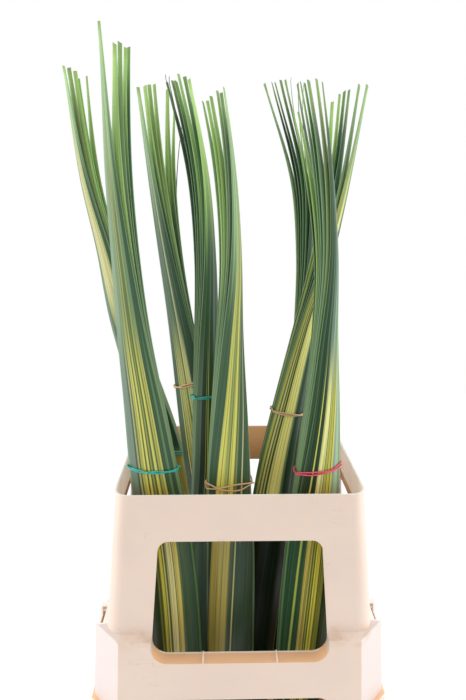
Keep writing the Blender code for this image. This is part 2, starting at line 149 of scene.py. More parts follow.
# Windows: half widths at the top and at the bottom, on the broad sides and on the narrow sides
WINDOW_TOP_Z = 0.4130
WINDOW_SILL_Z = 0.2540
WINDOW_BROAD = (0.1030, 0.1155)
WINDOW_NARROW = (0.0565, 0.0680)
WINDOW_TOP_RADIUS = 0.0130
WINDOW_SILL_RADIUS = 0.0230
WINDOW_CORNER_SEGMENTS = 10
LOWER_WINDOW_TOP_Z = 0.2005
LOWER_WINDOW_SILL_Z = 0.1250
RIB_OFFSET_BROAD = 0.0475
RIB_OFFSET_NARROW = 0.0250
RIB_WIDTH = 0.0020
RIB_HEIGHT = 0.0025
RIB_ROOT = 0.0010
RIB_SHIFT = 0.0008
TROUGH_INSET = 0.0006

# Sills get a painted highlight on their inner brink and on their ribs, between these heights above the sill and
# away from the windows' corners
BRINK_WIDTH = 0.0020
BRINK_SOFTNESS = 0.0004
BRINK_HIGHLIGHT_SHARE = 0.8
BROAD_SIDE_Y = (0.10, 0.11)
RIB_STEPS = (0.0008, 0.0012)
WINDOW_CORNER_XY = (0.085, 0.090)
SILL_STEPS = (-0.001, 0.003)

# How far a tool reaches that cuts through a wall
CUT_REACH = 0.25

# Low places at the ends of the ledge
LEDGE_NOTCH_Y = (0.0730, 0.1060)
LEDGE_NOTCH_DEPTH = 0.0090
LEDGE_NOTCH_DROP = 0.0150
LEDGE_NOTCH_CLEAR = 0.0100

# Leaves
LEAF_FOOT_Z = BUCKET_WALL + 0.0003
FOLD_RATIO = 0.58
FOLD_LOSS = 0.60
FOLD_KEEL = 0.10
FOLD_CREASE = 0.5
FOLD_SLOPES = (0.266, 1.534)
FOLD_SOFTNESS = 0.06
FOLD_MIDDLE = 0.4
STACK_PITCH = 0.0021
STACK_PITCH_TOP = 0.0040
STACK_SPREAD_Z = (0.60, 0.95)
TURN_Z = (0.34, 0.82)
TIP_TURN_POWER = 4
FAN_START_Z = 0.56
FAN_POWER = 2.6
TAPER_POWER = 2.6
TAPER_EASE = 1.5
FOOT_NARROWING = 0.26
FOOT_END = 0.45
TIP_CUT = 0.0016
TIP_CUT_START = 0.985

# Where the middle of each bunch is, at these heights
PATH_Z = (0.0, 0.19, 0.38, 0.475, 0.57, 0.665, 0.76, 0.855, 0.97)
DEPTH_Z = (0.0, 0.475, 1.0)

# Each bunch: middle across (at PATH_Z), middle in depth (at DEPTH_Z), its leaves' greatest width, the way it faces at
# its foot and at its top in degrees to the right, and how far the tips of its leaves turn further, every second one
# the other way. Its leaves stand from front to back, each with its tip's place across, height and width
BUNCHES = {
    "a": {
        "across": (-0.0862, -0.089, -0.099, -0.111, -0.120, -0.129, -0.134, -0.136, -0.133),
        "depth": (-0.072, -0.079, -0.095), "width": 0.080, "facing": (-4, -38), "turn": 3,
        "leaves": ((-0.146, 0.998, 0.0035), (-0.132, 0.979, 0.0055), (-0.127, 0.981, 0.0055),
                   (-0.122, 0.977, 0.004), (-0.119, 0.978, 0.004)),
    },
    "b": {
        "across": (-0.045, -0.074, -0.106, -0.119, -0.143, -0.170, -0.188, -0.209, -0.226),
        "depth": (0.048, 0.052, 0.085), "width": 0.078, "facing": (-5, -40), "turn": -3,
        "leaves": ((-0.231, 0.997, 0.005), (-0.225, 0.995, 0.0075), (-0.218, 0.992, 0.0085),
                   (-0.215, 0.983, 0.007), (-0.204, 0.987, 0.0035)),
    },
    "c": {
        "across": (0.005, -0.014, -0.039, -0.054, -0.067, -0.080, -0.093, -0.104, -0.115),
        "depth": (0.006, 0.008, 0.020), "width": 0.068, "facing": (-5, -42), "turn": 3,
        "leaves": ((-0.125, 0.959, 0.005), (-0.117, 0.961, 0.006), (-0.112, 0.963, 0.006),
                   (-0.106, 0.964, 0.005), (-0.090, 0.959, 0.005), (-0.082, 0.936, 0.003)),
    },
    "d": {
        "across": (-0.048, -0.044, -0.040, -0.038, -0.039, -0.040, -0.041, -0.048, -0.070),
        "depth": (-0.030, -0.030, -0.045), "width": 0.062, "facing": (5, 52), "turn": 3,
        "leaves": ((-0.059, 0.956, 0.004), (-0.064, 0.959, 0.005), (-0.071, 0.962, 0.004),
                   (-0.074, 0.955, 0.005), (-0.078, 0.956, 0.005), (-0.085, 0.955, 0.003)),
    },
    "e": {
        "across": (-0.009, -0.012, -0.012, -0.013, -0.012, -0.011, -0.010, -0.016, -0.032),
        "depth": (-0.074, -0.077, -0.075), "width": 0.072, "facing": (-6, 56), "turn": 3,
        "leaves": ((-0.020, 0.941, 0.003), (-0.023, 0.937, 0.005), (-0.027, 0.939, 0.005),
                   (-0.034, 0.934, 0.005), (-0.038, 0.930, 0.0055), (-0.043, 0.929, 0.003)),
    },
    "f": {
        "across": (0.019, 0.029, 0.046, 0.056, 0.071, 0.088, 0.107, 0.121, 0.132),
        "depth": (-0.030, -0.030, -0.012), "width": 0.067, "facing": (8, 48), "turn": 3,
        "leaves": ((0.149, 0.957, 0.005), (0.140, 0.958, 0.004), (0.129, 0.953, 0.005), (0.124, 0.952, 0.005),
                   (0.119, 0.949, 0.005), (0.111, 0.941, 0.006)),
    },
    "g": {
        "across": (0.084, 0.092, 0.099, 0.103, 0.105, 0.104, 0.101, 0.089, 0.068),
        "depth": (-0.072, -0.077, -0.084), "width": 0.078, "facing": (6, 56), "turn": 3,
        "leaves": ((0.084, 0.945, 0.003), (0.078, 0.949, 0.005), (0.070, 0.948, 0.008), (0.066, 0.946, 0.004),
                   (0.062, 0.947, 0.003), (0.061, 0.918, 0.004), (0.055, 0.920, 0.003)),
    },
    "h": {
        "across": (0.0865, 0.094, 0.101, 0.103, 0.102, 0.101, 0.098, 0.088, 0.055),
        "depth": (0.050, 0.056, 0.076), "width": 0.064, "facing": (5, 58), "turn": -3,
        "leaves": ((0.078, 0.976, 0.0035), (0.062, 0.981, 0.005), (0.056, 0.981, 0.006), (0.049, 0.978, 0.004),
                   (0.045, 0.978, 0.003), (0.035, 0.978, 0.005)),
    },
}

# Stripes. "drift" is how far they move to the right with height, "fade" between which shares of the height they turn
# into the leaf's tip colour, "rim" between which shares the painted shade of the bucket begins, "shade" how light
# that painted shade leaves them and "gloss" how shiny the leaves are. "middle" is where each stripe starts across the
# blade, from -1 at its left edge to 1 at its right edge, with its colour, and it runs on to the next. "foot"
# and "top" take its place below the rim and in the upper half
STRIPES = {
    "a": {
        "drift": 0.25, "fade": (0.82, 0.96), "rim": (0.40, 0.46), "shade": 1.35, "gloss": 0.36,
        "middle": "-1.8 grey, -0.56 deep, -0.46 pale, -0.39 moss, -0.3 yellow, -0.1 moss, -0.03 yellow, 0.06 "
                  "moss, 0.12 olive, 0.18 moss, 0.26 yellow, 0.36 moss, 0.42 yellow, 0.58 deep, 0.72 leafy, "
                  "0.8 deep",
        "foot": "-1.8 deep, -0.32 olive, -0.27 moss, -0.2 yellow, -0.08 moss, -0.04 cream, 0 moss, 0.08 pale, "
                "0.3 moss, 0.33 gold, 0.5 moss, 0.56 deep",
        "top": "-1.8 bloom, -0.5 green, -0.42 olive, -0.36 leafy, -0.26 olive, -0.1 moss, -0.04 olive, 0.04 "
               "moss, 0.3 olive, 0.4 leafy, 0.46 bloom, 0.6 deep",
    },
    "b": {
        "drift": -1.2, "fade": (0.84, 0.96), "rim": (0.44, 0.47), "shade": 0.90, "gloss": 0.20,
        "middle": "-1.8 grey, -0.5 night",
        "foot": "-1.8 deep, 0.2 moss, 0.4 gold, 0.9 moss",
        "top": "-1.8 grey, -0.5 green, -0.46 grey, -0.24 olive, -0.16 pale, 0.84 olive, 0.92 deep, 1.2 grey",
    },
    "c": {
        "drift": 0.3, "fade": (0.80, 0.94), "rim": (0.36, 0.42), "shade": 0.50, "gloss": 0.36,
        "middle": "-1.8 deep, -0.6 yellow, -0.54 moss, -0.48 yellow, -0.38 olive, -0.32 cream, -0.24 moss, "
                  "-0.2 yellow, -0.1 olive, -0.06 moss, 0 cream, 0.34 green, 0.42 deep",
        "top": "-1.8 grey, -0.86 deep, -0.62 grey, -0.57 deep, -0.34 leafy, -0.28 deep, 0.02 pale, 0.16 "
               "green, 0.24 deep, 0.5 grey, 0.56 deep",
    },
    "d": {
        "drift": 0.05, "fade": (0.78, 0.92), "rim": (0.37, 0.43), "shade": 1.20, "gloss": 0.28,
        "middle": "-1.8 grey, -0.66 night, -0.42 olive, -0.37 night, -0.3 yellow, -0.25 night, 0.1 green, "
                  "0.14 night, 0.4 green, 0.46 night",
        "foot": "-1.8 grey, -0.1 night, 0.3 green, 0.36 night",
        "top": "-1.8 deep, -0.7 green, -0.65 deep, -0.3 leafy, -0.24 night, 0.1 grey, 0.3 deep",
    },
    "e": {
        "drift": 1.05, "fade": (0.74, 0.90), "rim": (0.40, 0.46), "shade": 0.80, "gloss": 0.36,
        "middle": "-1.8 deep, -0.62 yellow, -0.46 moss, -0.43 yellow, -0.3 olive, -0.15 moss, -0.1 yellow, "
                  "0.14 moss, 0.2 olive, 0.26 deep, 0.5 pale, 0.56 deep",
        "foot": "-1.8 deep, -0.68 gold, 0.1 moss, 0.16 deep, 0.29 pale, 0.34 deep",
    },
    # Bunch f's right flank is darkest green: painted shade from bunch g in front of it
    "f": {
        "drift": 0.3, "fade": (0.80, 0.95), "rim": (0.37, 0.43), "shade": 0.20, "gloss": 0.12,
        "middle": "-1.8 yellow, -0.88 moss, -0.82 cream, -0.74 deep, -0.68 yellow, -0.61 deep, -0.52 bright, "
                  "-0.02 cream, 0.1 olive, 0.18 leafy, 0.24 night, 0.66 leafy, 0.7 night",
        "foot": "-1.8 deep, -0.7 moss, -0.35 deep, -0.1 leafy, -0.06 deep, 0.3 leafy, 0.34 deep",
    },
    "g": {
        "drift": 0.6, "fade": (0.84, 0.97), "rim": (0.40, 0.46), "shade": 1.40, "gloss": 0.08,
        "middle": "-1.8 night, -0.86 green, -0.82 night, -0.54 yellow, -0.48 night, -0.27 cream, 0 moss, 0.05 "
                  "yellow, 0.14 moss, 0.18 yellow, 0.3 moss, 0.34 yellow, 0.44 mist, 0.62 light, 0.8 mist",
        "foot": "-1.8 deep, -0.53 olive, -0.46 deep, -0.26 gold, -0.02 moss, 0.03 olive, 0.08 moss, 0.12 "
                "yellow, 0.3 moss, 0.34 olive, 0.54 deep",
        "top": "-1.8 night, -0.9 grey, -0.86 night, -0.62 green, -0.56 night, -0.36 grey, -0.1 shade, -0.02 "
               "mist, 0.24 bloom, 0.4 light",
    },
    "h": {
        "drift": 0.1, "fade": (0.84, 0.97), "rim": (0.32, 0.39), "shade": 0.40, "gloss": 0.20,
        "middle": "-1.8 night, -0.6 green, -0.54 night, -0.2 leafy, -0.14 night, 0.16 green, 0.22 night, 0.6 "
                  "grey, 0.64 night",
    },
    "wide": {
        "drift": 0.3, "fade": (0.66, 0.84), "rim": (0.38, 0.44), "shade": 0.60, "gloss": 0.30,
        "middle": "-1.8 deep, -0.8 green, -0.72 deep, -0.4 pale, -0.3 moss, -0.22 yellow, 0 moss, 0.04 "
                  "yellow, 0.22 olive, 0.34 leafy, 0.44 deep",
    },
    "plain": {
        "drift": 0.1, "fade": (0.70, 0.86), "rim": (0.38, 0.44), "shade": 0.60, "gloss": 0.30,
        "middle": "-1.8 deep, -0.86 green, -0.8 deep, -0.2 leafy, -0.12 deep, 0.3 green, 0.36 deep, 0.76 "
                  "green, 0.82 deep",
    },
    "pale": {
        "drift": 0.1, "fade": (0.45, 0.62), "rim": (0.38, 0.44), "shade": 0.60, "gloss": 0.36,
        "middle": "-1.8 bloom, -0.5 mist, -0.3 light, 0.1 bloom, 0.5 light",
    },
}
# Leaves with stripes of their own
OWN_DESIGNS = {"h6": "pale"}
STRIPE_SOFTNESS = 0.012
STRIPE_REACH = 2.0
RIM_SHADE_GAMMA = 1.20
TOP_SHARES = (0.60, 0.72)
SWAY = 0.10

# A blade's noises, broad, lines, veins and threads: how fine they are across and along it, how far each leaf's own
# number shifts them, their detail and their roughness
LEAF_NOISES = ((3.5, 0.6, 77.0, 1.0, 0.5), (9.0, 0.8, 31.0, 2.0, 0.6), (26.0, 1.3, 31.0, 2.0, 0.7),
               (70.0, 2.0, 13.0, 1.0, 0.5))

# What changes a blade's colour: from where a noise, a height or a distance across does, to where, and by how much
MOSS_WIDTH = (0.008, 0.045)
MOSS_SHARE = 0.60
GREEN_VEINS = (0.54, 0.64, 0.22)
DEEP_TIP_LINES = (0.50, 0.60, 0.45)
LIGHT_TIP_VEINS = (0.60, 0.70, 0.40)
LEAFY_HEIGHTS = (0.46, 0.80, 0.14)
FADE_SWAY = 0.20
FADE_SHARE = 0.90
DEEP_THREADS = (0.58, 0.70, 0.35)
TIP_HEIGHTS = (0.90, 0.99, 0.6)
FRESH_HEIGHTS = (0.94, 1.0, 0.50)
LIGHT_MARGINS = (0.92, 1.0, 0.55)
TIP_TONES = (0.40, 1.20)
LEAF_TONES = (0.85, 0.30)
LEAF_ROUGHNESS = (0.34, 0.14)

# The colour that each leaf takes towards its tip, from the front of its bunch to its back
TIP_COLOURS = {
    "a": "light fresh light fresh leafy",
    "b": "light brown fresh fresh fresh",
    "c": "light fresh brown fresh fresh fresh",
    "d": "fresh leafy fresh leafy shade shade",
    "e": "light bloom light fresh fresh light",
    "f": "light light leafy leafy fresh fresh",
    "g": "shade brown bloom leafy light fresh fresh",
    "h": "shade shade leafy shade shade light",
}

# Torn strands that stand off their leaf: its bunch and order, where they leave it across and in height, where their
# tips are across and in height, and their colour
STRANDS = (
    ("c", 5, 0.7, 0.80, -0.0690, 0.938, "leafy"),
    ("d", 4, -0.7, 0.84, -0.0860, 0.962, "shade"),
    ("d", 5, -0.6, 0.86, -0.0820, 0.961, "shade"),
    ("h", 2, 0.6, 0.86, 0.0700, 0.985, "light"),
    ("h", 1, 0.5, 0.86, 0.0850, 0.975, "light"),
    ("h", 1, 0.9, 0.88, 0.0790, 0.978, "brown"),
)
STRAND_WIDTH = (0.0016, 0.0006)
STRAND_STEPS = 24
STRAND_POWER = 1.6

# Rubber bands: height of each band's middle, its rise to the right in metres for each metre across, its colour, where
# round the bunch its two turns cross, in radians, how many further times they do, and how far they part
BAND_CLEARANCE = 0.0004
BAND_LIFT = 0.0021
BAND_STEPS = 72
BAND_PLACES = 4
BAND_CORNER_POINTS = 16
BANDS = {
    "a": (0.494, 0.02, "teal", 0.5, 2, 0.0013),
    "b": (0.460, -0.10, "teal", 2.2, 0, 0.0022),
    "c": (0.580, 0.35, "tan", 0.6, 1, 0.0018),
    "d": (0.577, 0.03, "teal", 1.57, 2, 0.0013),
    "e": (0.470, 0.02, "tan", -0.785, 1, 0.0042),
    "f": (0.551, -0.25, "tan", 0.0, 1, 0.0014),
    "g": (0.492, 0.06, "pink", 0.6, 1, 0.0020),
    "h": (0.500, 0.00, "tan", 2.0, 0, 0.0022),
}

# Camera and stage
CAMERA_PLACE = (-0.0236, -0.7209, 0.8192)
CAMERA_YAW = radians(1.267)
CAMERA_PITCH = radians(14.708)
CAMERA_ROLL = radians(0.225)
SENSOR_LONG_SIDE = 36.0
FLOOR_HALF = 1.6
FLOOR_ROUGHNESS = 0.9
SIDE_LIGHT_PLACE = (2.3, 0.0, 1.1)
SIDE_LIGHT_SIZE = 2.0


def tint(name, description, default):
    """A colour setting."""
    return FloatVectorProperty(name=name, description=description, subtype="COLOR", min=0, max=1, default=default)


class BucketLook(bpy.types.PropertyGroup):
    """The plastic of the bucket and its collar."""
    outside: tint("Outside", "Colour of the plastic's outer faces", (0.80, 0.642, 0.540))
    # Painted backlight and shade: the orange of the inner faces, where light comes through the plastic from behind
    inside: tint("Inside", "Colour of the inner faces, which light reaches through the plastic", (0.98, 0.58, 0.33))
    # Painted highlight: the pale colour of the rounded edges, the rim's top and the sills' brinks and ribs
    edge: tint("Edges", "Colour of the rounded edges", (1.00, 0.95, 0.86))
    edge_radius: FloatProperty(
        name="Edge radius", description="Radius of the moulding's edges", unit="LENGTH", min=0, default=0.0008)


class LeafLook(bpy.types.PropertyGroup):
    """The blades and the colours of their stripes."""
    thickness: FloatProperty(
        name="Thickness", description="Thickness of a blade", unit="LENGTH", min=0.0006, default=0.0008)
    columns: IntProperty(name="Columns", description="Faces across a blade", min=4, default=16)
    rows: IntProperty(name="Rows", description="Faces along a blade", min=10, default=64)
    deep: tint("Deep green", "Ground colour", (0.025, 0.070, 0.034))
    # Partly the darkest blades' own colour, partly painted shade, as on bunch f's right flank
    night: tint("Darkest green", "The darkest blades", (0.013, 0.038, 0.022))
    green: tint("Green", "Light green lines", (0.10, 0.17, 0.095))
    moss: tint("Moss", "Dark lines between the stripes", (0.085, 0.12, 0.030))
    olive: tint("Olive", "Dull stripes", (0.30, 0.34, 0.085))
    yellow: tint("Yellow", "Bright stripes", (0.60, 0.58, 0.11))
    pale: tint("Pale", "Pale stripes", (0.56, 0.52, 0.24))
    bright: tint("Lightest yellow", "The lightest stripes", (0.96, 0.92, 0.28))
    cream: tint("Cream", "The palest stripes", (0.78, 0.76, 0.30))
    gold: tint("Gold", "Dull gold stripes near the foot", (0.46, 0.39, 0.105))
    grey: tint("Grey", "Bloomed stripes", (0.115, 0.175, 0.130))
    fresh: tint("Fresh tips", "Bright yellow green", (0.42, 0.64, 0.19))
    light: tint("Light tips", "Light green", (0.31, 0.48, 0.23))
    # Painted sheen: the blue grey gleam that glossy blades show where they reflect the bright surroundings
    mist: tint("Mist", "Blades that gleam blue grey", (0.27, 0.36, 0.31))
    bloom: tint("Bloomed tips", "Dull blue green", (0.17, 0.27, 0.15))
    leafy: tint("Leafy tips", "Plain green", (0.085, 0.20, 0.085))
    shade: tint("Shaded tips", "Dark blue green", (0.060, 0.110, 0.068))
    brown: tint("Brown tips", "Dull olive", (0.27, 0.37, 0.13))


class BandLook(bpy.types.PropertyGroup):
    """The rubber bands."""
    radius: FloatProperty(
        name="Radius", description="Half the thickness of a band", unit="LENGTH", min=0.0003, default=0.0010)
    teal: tint("Teal", "Teal rubber", (0.02, 0.40, 0.33))
    tan: tint("Tan", "Natural rubber", (0.62, 0.40, 0.20))
    pink: tint("Pink", "Pink rubber", (0.72, 0.07, 0.14))


class StageLook(bpy.types.PropertyGroup):
    """The floor, the light and the camera."""
    floor: tint("Floor", "Colour of the floor", (0.98, 0.98, 0.98))
    light: FloatProperty(name="Light", description="Strength of the light all round", min=0, default=0.84)
    side_light: FloatProperty(
        name="Side lights", description="Power of the soft lights beside the object, in watts", min=0, default=36.0)
    lens: FloatProperty(name="Lens", description="Focal length", subtype="DISTANCE_CAMERA", min=1, default=28.25)


class Shade:
    """A value or colour in a material. Arithmetic on it adds the nodes that work it out."""

    def __init__(self, tree, socket=None):
        self.tree = tree
        self.socket = socket

    def feed(self, socket, value):
        """Link a Shade to a socket, or set a number or a colour on it."""
        if isinstance(value, Shade):
            self.tree.links.new(value.socket, socket)
        elif socket.type == "RGBA":
            socket.default_value = (*value, 1.0)
        else:
            socket.default_value = value

    def node(self, kind, inputs, output=0, stops=None, **settings):
        """Any other node: its type, the values or links of its sockets, a ramp's stops and what else is set on it."""
        made = self.tree.nodes.new("ShaderNode" + kind)
        for name, value in settings.items():
            setattr(made, name, value)
        if stops:
            elements = made.color_ramp.elements
            for element, (place, colour) in zip((elements[0], elements[1]), (stops[0], stops[-1])):
                element.position = place
                element.color = (*colour, 1.0)
            for place, colour in stops[1:-1]:
                elements.new(place).color = (*colour, 1.0)
        for name, value in inputs.items():
            self.feed(made.inputs[name], value)
        return Shade(self.tree, made.outputs[output])

    def math(self, operation, *values):
        """A Math node."""
        return self.node("Math", dict(enumerate(values)), operation=operation)

    def __abs__(self):
        return self.math("ABSOLUTE", self)

    def rise(self, low, high):
        """0 below low, 1 above high, and smooth between."""
        return self.node("MapRange", {0: self, 1: low, 2: high}, interpolation_type="SMOOTHSTEP")

    def blend(self, share, first, second):
        """A mixture of two colours, by the second one's share."""
        return self.node("Mix", {0: share, 6: first, 7: second}, output=2, data_type="RGBA")

    def mixed(self, other, share):
        """This colour turned towards another one."""
        return self.blend(share, self, other)

    def laid(self, other, value, change):
        """This colour turned towards another one as a value rises: from where, to where, and by how much."""
        low, high, share = change
        return self.mixed(other, value.rise(low, high) * share)

    def scaled(self, factor):
        """This colour made darker or lighter by a factor."""
        return self.node("VectorMath", {0: self, 3: factor}, operation="SCALE")

    def parts(self):
        """The three numbers of a vector."""
        apart = self.node("SeparateXYZ", {0: self})
        return [Shade(self.tree, apart.socket.node.outputs[i]) for i in range(3)]

    def vector(self, *parts):
        """A vector from three numbers."""
        return self.node("CombineXYZ", dict(enumerate(parts)))

    def noise(self, place, scale, detail=2.0, roughness=0.5):
        """Noise at a place, from 0 to 1."""
        return self.node("TexNoise", {"Vector": place, "Scale": scale, "Detail": detail, "Roughness": roughness})


for mark, operation in (("add", "ADD"), ("sub", "SUBTRACT"), ("mul", "MULTIPLY"), ("truediv", "DIVIDE")):
    setattr(Shade, "__%s__" % mark, lambda self, other, name=operation: self.math(name, self, other))
    setattr(Shade, "__r%s__" % mark, lambda self, other, name=operation: self.math(name, other, self))


def new_material(name):
    """An empty Principled material: its shader and a Shade to start from."""
    made = bpy.data.materials.new(name)
    made.use_nodes = True
    shader = made.node_tree.nodes["Principled BSDF"]
    return made, shader, Shade(made.node_tree)


def plastic_material(name, kind, look):
    """Moulded plastic: faint clouds, dark specks, a few scratches, dirt along the ledge and a fine grain."""
    made, shader, start = new_material(name)
    colour = getattr(look, "outside" if kind == "narrow" else kind)
    place = start.node("TexCoord", {}, output="Object")
    x, y, height = place.parts()
    # Painted glow: emission that stands in for light coming through the plastic, rising with height
    if kind in PAINTED_GLOWS:
        light, heights = PAINTED_GLOWS[kind]
        lit = height.rise(*heights)
        start.feed(shader.inputs["Emission Color"], start.vector(*(lit * part for part in light)))
        start.feed(shader.inputs["Emission Strength"], 1.0)
    clouds = start.noise(place, CLOUD_SCALE, 3.0)
    blotches = start.noise(place, BLOTCH_SCALE, 2.0)
    grain = start.noise(place, GRAIN_SCALE, 2.0)
    cells = start.node("TexVoronoi", {"Vector": place, "Scale": SPECK_SCALE})
    rare = start.noise(place, RARE_SCALE, 0.0)
    specks = (1.0 - cells.rise(*SPECK_SIZE)) * rare.rise(*SPECK_PLACES)
    stretched = start.node("Mapping", {"Vector": place, "Rotation": SCRATCH_TURN, "Scale": SCRATCH_STRETCH})
    scratch = 1.0 - abs(start.noise(stretched, SCRATCH_SCALE, 3.0) - 0.5).rise(*SCRATCH_WIDTH)
    scratch = scratch * start.noise(place, SCRATCH_AREA_SCALE, 1.0).rise(*SCRATCH_PLACES)
    dirt = (1.0 - abs(height - LEDGE_Z).rise(SOFT_STEP, DIRT_REACH)) * blotches.rise(*DIRT_PLACES)
    ground = start.blend(clouds.rise(*CLOUD_PLACES) * CLOUD_SHARE, colour, tuple(c * CLOUD_TONE for c in colour))
    start.feed(shader.inputs["Coat Weight"], COAT_WEIGHT)
    start.feed(shader.inputs["Coat Roughness"], COAT_ROUGHNESS)
    if kind in ("outside", "narrow"):
        # Painted sheen from the side lights on the collar's ends and chamfers
        ground = ground.mixed(END_SHEEN_TONE, on_ends(x, height))
    if kind == "inside":
        # Painted highlight on the sills' inner brink and ribs
        ground = ground.mixed(look.edge, on_brink_or_ribs(x, y, height) * BRINK_HIGHLIGHT_SHARE)
    ground = ground.laid(look.inside, blotches, ORANGE_BLOTCHES)
    ground = ground.mixed(DIRT_COLOUR, dirt * DIRT_SHARE)
    ground = ground.mixed(SCRATCH_COLOUR, scratch * SCRATCH_SHARE)
    start.feed(shader.inputs["Base Color"], ground.mixed(SPECK_COLOUR, specks * SPECK_SHARE))
    start.feed(shader.inputs["Roughness"], PLASTIC_ROUGHNESS[0] + clouds * PLASTIC_ROUGHNESS[1])
    bump = start.node("Bump", {"Strength": 0.12, "Distance": 0.0002, "Height": grain + clouds * 2.0})
    start.feed(shader.inputs["Normal"], bump)
    return made


def on_ends(x, height):
    """1 on the narrow sides and the chamfers of the collar, by a place's distance across and its height."""
    above = height.rise(LEDGE_Z - SOFT_STEP, LEDGE_Z + SOFT_STEP)
    below_end = abs(x) - (LEDGE_Z - height) * END_SLOPE - (LEDGE_HALF[0] - LEDGE_CHAMFER)
    neck_end = abs(x) + (height - LEDGE_Z) * NECK_SLOPE - (NECK_FOOT_HALF[0] - NECK_END_WIDTH)
    return below_end.rise(0.0, END_SOFTNESS) * (1.0 - above) + neck_end.rise(0.0, NECK_END_WIDTH) * above


def on_brink_or_ribs(x, y, height):
    """1 on the inner brink of the broad sills and on the ribs of the sills."""
    brink_y = NECK_FOOT_HALF[1] - COLLAR_WALL + BRINK_WIDTH
    brink = (1.0 - abs(y).rise(brink_y, brink_y + BRINK_SOFTNESS)) * abs(y).rise(*BROAD_SIDE_Y)
    ribs = height.rise(*(WINDOW_SILL_Z + step for step in RIB_STEPS))
    ribs = ribs * (1.0 - abs(x).rise(*WINDOW_CORNER_XY) * abs(y).rise(*WINDOW_CORNER_XY))
    low, high = SILL_STEPS
    sill = height.rise(WINDOW_SILL_Z + low - SOFT_STEP, WINDOW_SILL_Z + low)
    sill = sill * (1.0 - height.rise(WINDOW_SILL_Z + high, WINDOW_SILL_Z + high + SOFT_STEP))
    return (1.0 - (1.0 - brink) * (1.0 - ribs)) * sill


def on_ramp(across):
    """The place on a ramp that stands for a place across the blade."""
    return (across + STRIPE_REACH) / (2 * STRIPE_REACH)


def striped(lane, stripes, look):
    """The colour of the stripes at a place across the blade, with slightly soft borders."""
    stops = []
    for stripe in stripes.split(", "):
        start, colour = stripe.split()
        start = float(start)
        if stops:
            stops.append((on_ramp(start - STRIPE_SOFTNESS), stops[-1][1]))
        stops.append((on_ramp(start + STRIPE_SOFTNESS), getattr(look, colour)))
    return lane.node("ValToRGB", {0: on_ramp(lane)}, stops=stops)


def leaf_material(name, design, look):
    """A striped blade: broad stripes, fine parallel veins, pale margins, and its own colour towards its tip."""
    made, shader, start = new_material(name)
    stripes = STRIPES[design]
    across, along, _ = start.node("UVMap", {}, uv_map="blade").parts()
    seed = start.node("Attribute", {}, output="Fac", attribute_name="leaf_seed")
    tip = start.node("Attribute", {}, attribute_name="leaf_tip")
    t = across * 2.0 - 1.0
    sway = start.noise(start.vector(t * 1.5, along * 3.0, seed * 57.0), 1.0, 1.0)
    lane = t - (along - 0.5) * stripes["drift"] + (sway - 0.5) * SWAY
    rim = along.rise(*stripes["rim"])
    colour = striped(lane, stripes["middle"], look)
    if "foot" in stripes:
        colour = striped(lane, stripes["foot"], look).mixed(colour, rim)
    if "top" in stripes:
        colour = colour.mixed(striped(lane, stripes["top"], look), along.rise(*TOP_SHARES))
    broad, lines, veins, threads = [
        start.noise(start.vector(lane * across_scale, along * along_scale, seed * shift), 1.0, detail, roughness)
        for across_scale, along_scale, shift, detail, roughness in LEAF_NOISES]
    colour = colour.mixed(look.moss, (1.0 - abs(lines - 0.5).rise(*MOSS_WIDTH)) * MOSS_SHARE)
    colour = colour.laid(look.green, veins, GREEN_VEINS)
    upper = tip.scaled(TIP_TONES[0] + broad * TIP_TONES[1])
    upper = upper.laid(look.deep, lines, DEEP_TIP_LINES)
    upper = upper.laid(look.light, veins, LIGHT_TIP_VEINS)
    colour = colour.laid(look.leafy, along, LEAFY_HEIGHTS)
    colour = colour.laid(upper, along + (broad - 0.5) * FADE_SWAY, (*stripes["fade"], FADE_SHARE))
    colour = colour.laid(look.deep, threads, DEEP_THREADS)
    colour = colour.laid(tip, along, TIP_HEIGHTS)
    colour = colour.laid(look.fresh, along, FRESH_HEIGHTS)
    colour = colour.laid(look.light, abs(t), LIGHT_MARGINS)
    # Painted shade from the bucket below the rim: a steeper gamma, then the design's shade factor
    colour = start.node("Gamma", {0: colour, 1: RIM_SHADE_GAMMA - rim * (RIM_SHADE_GAMMA - 1.0)})
    colour = colour.scaled(stripes["shade"] + (1.0 - stripes["shade"]) * rim)
    start.feed(shader.inputs["Base Color"], colour.scaled(LEAF_TONES[0] + seed * LEAF_TONES[1]))
    start.feed(shader.inputs["Specular IOR Level"], stripes["gloss"])
    start.feed(shader.inputs["Roughness"], LEAF_ROUGHNESS[0] + threads * LEAF_ROUGHNESS[1])
    bump = start.node("Bump", {"Strength": 0.35, "Distance": 0.0003, "Height": veins + threads * 0.6})
    start.feed(shader.inputs["Normal"], bump)
    return made


def strand_material(name, colour):
    """A dry strand of leaf, lighter and darker along its length."""
    made, shader, start = new_material(name)
    place = start.node("TexCoord", {}, output="Object")
    shift = start.noise(place, 90.0, 2.0)
    dark = tuple(c * 0.6 for c in colour)
    start.feed(shader.inputs["Base Color"], start.blend(shift.rise(0.40, 0.65), colour, dark))
    start.feed(shader.inputs["Roughness"], 0.40 + shift * 0.15)
    return made


def rubber_material(name, colour):
    """Soft rubber with a faint sheen and dusty patches."""
    made, shader, start = new_material(name)
    place = start.node("TexCoord", {}, output="Object")
    dust = start.noise(place, 260.0, 3.0)
    dusty = tuple(0.25 + c * 0.7 for c in colour)
    start.feed(shader.inputs["Base Color"], start.blend(dust.rise(0.45, 0.75) * 0.4, colour, dusty))
    start.feed(shader.inputs["Roughness"], 0.38 + dust * 0.25)
    return made


def floor_material(name, colour):
    """A plain floor."""
    made, shader, start = new_material(name)
    start.feed(shader.inputs["Base Color"], colour)
    start.feed(shader.inputs["Roughness"], FLOOR_ROUGHNESS)
    return made


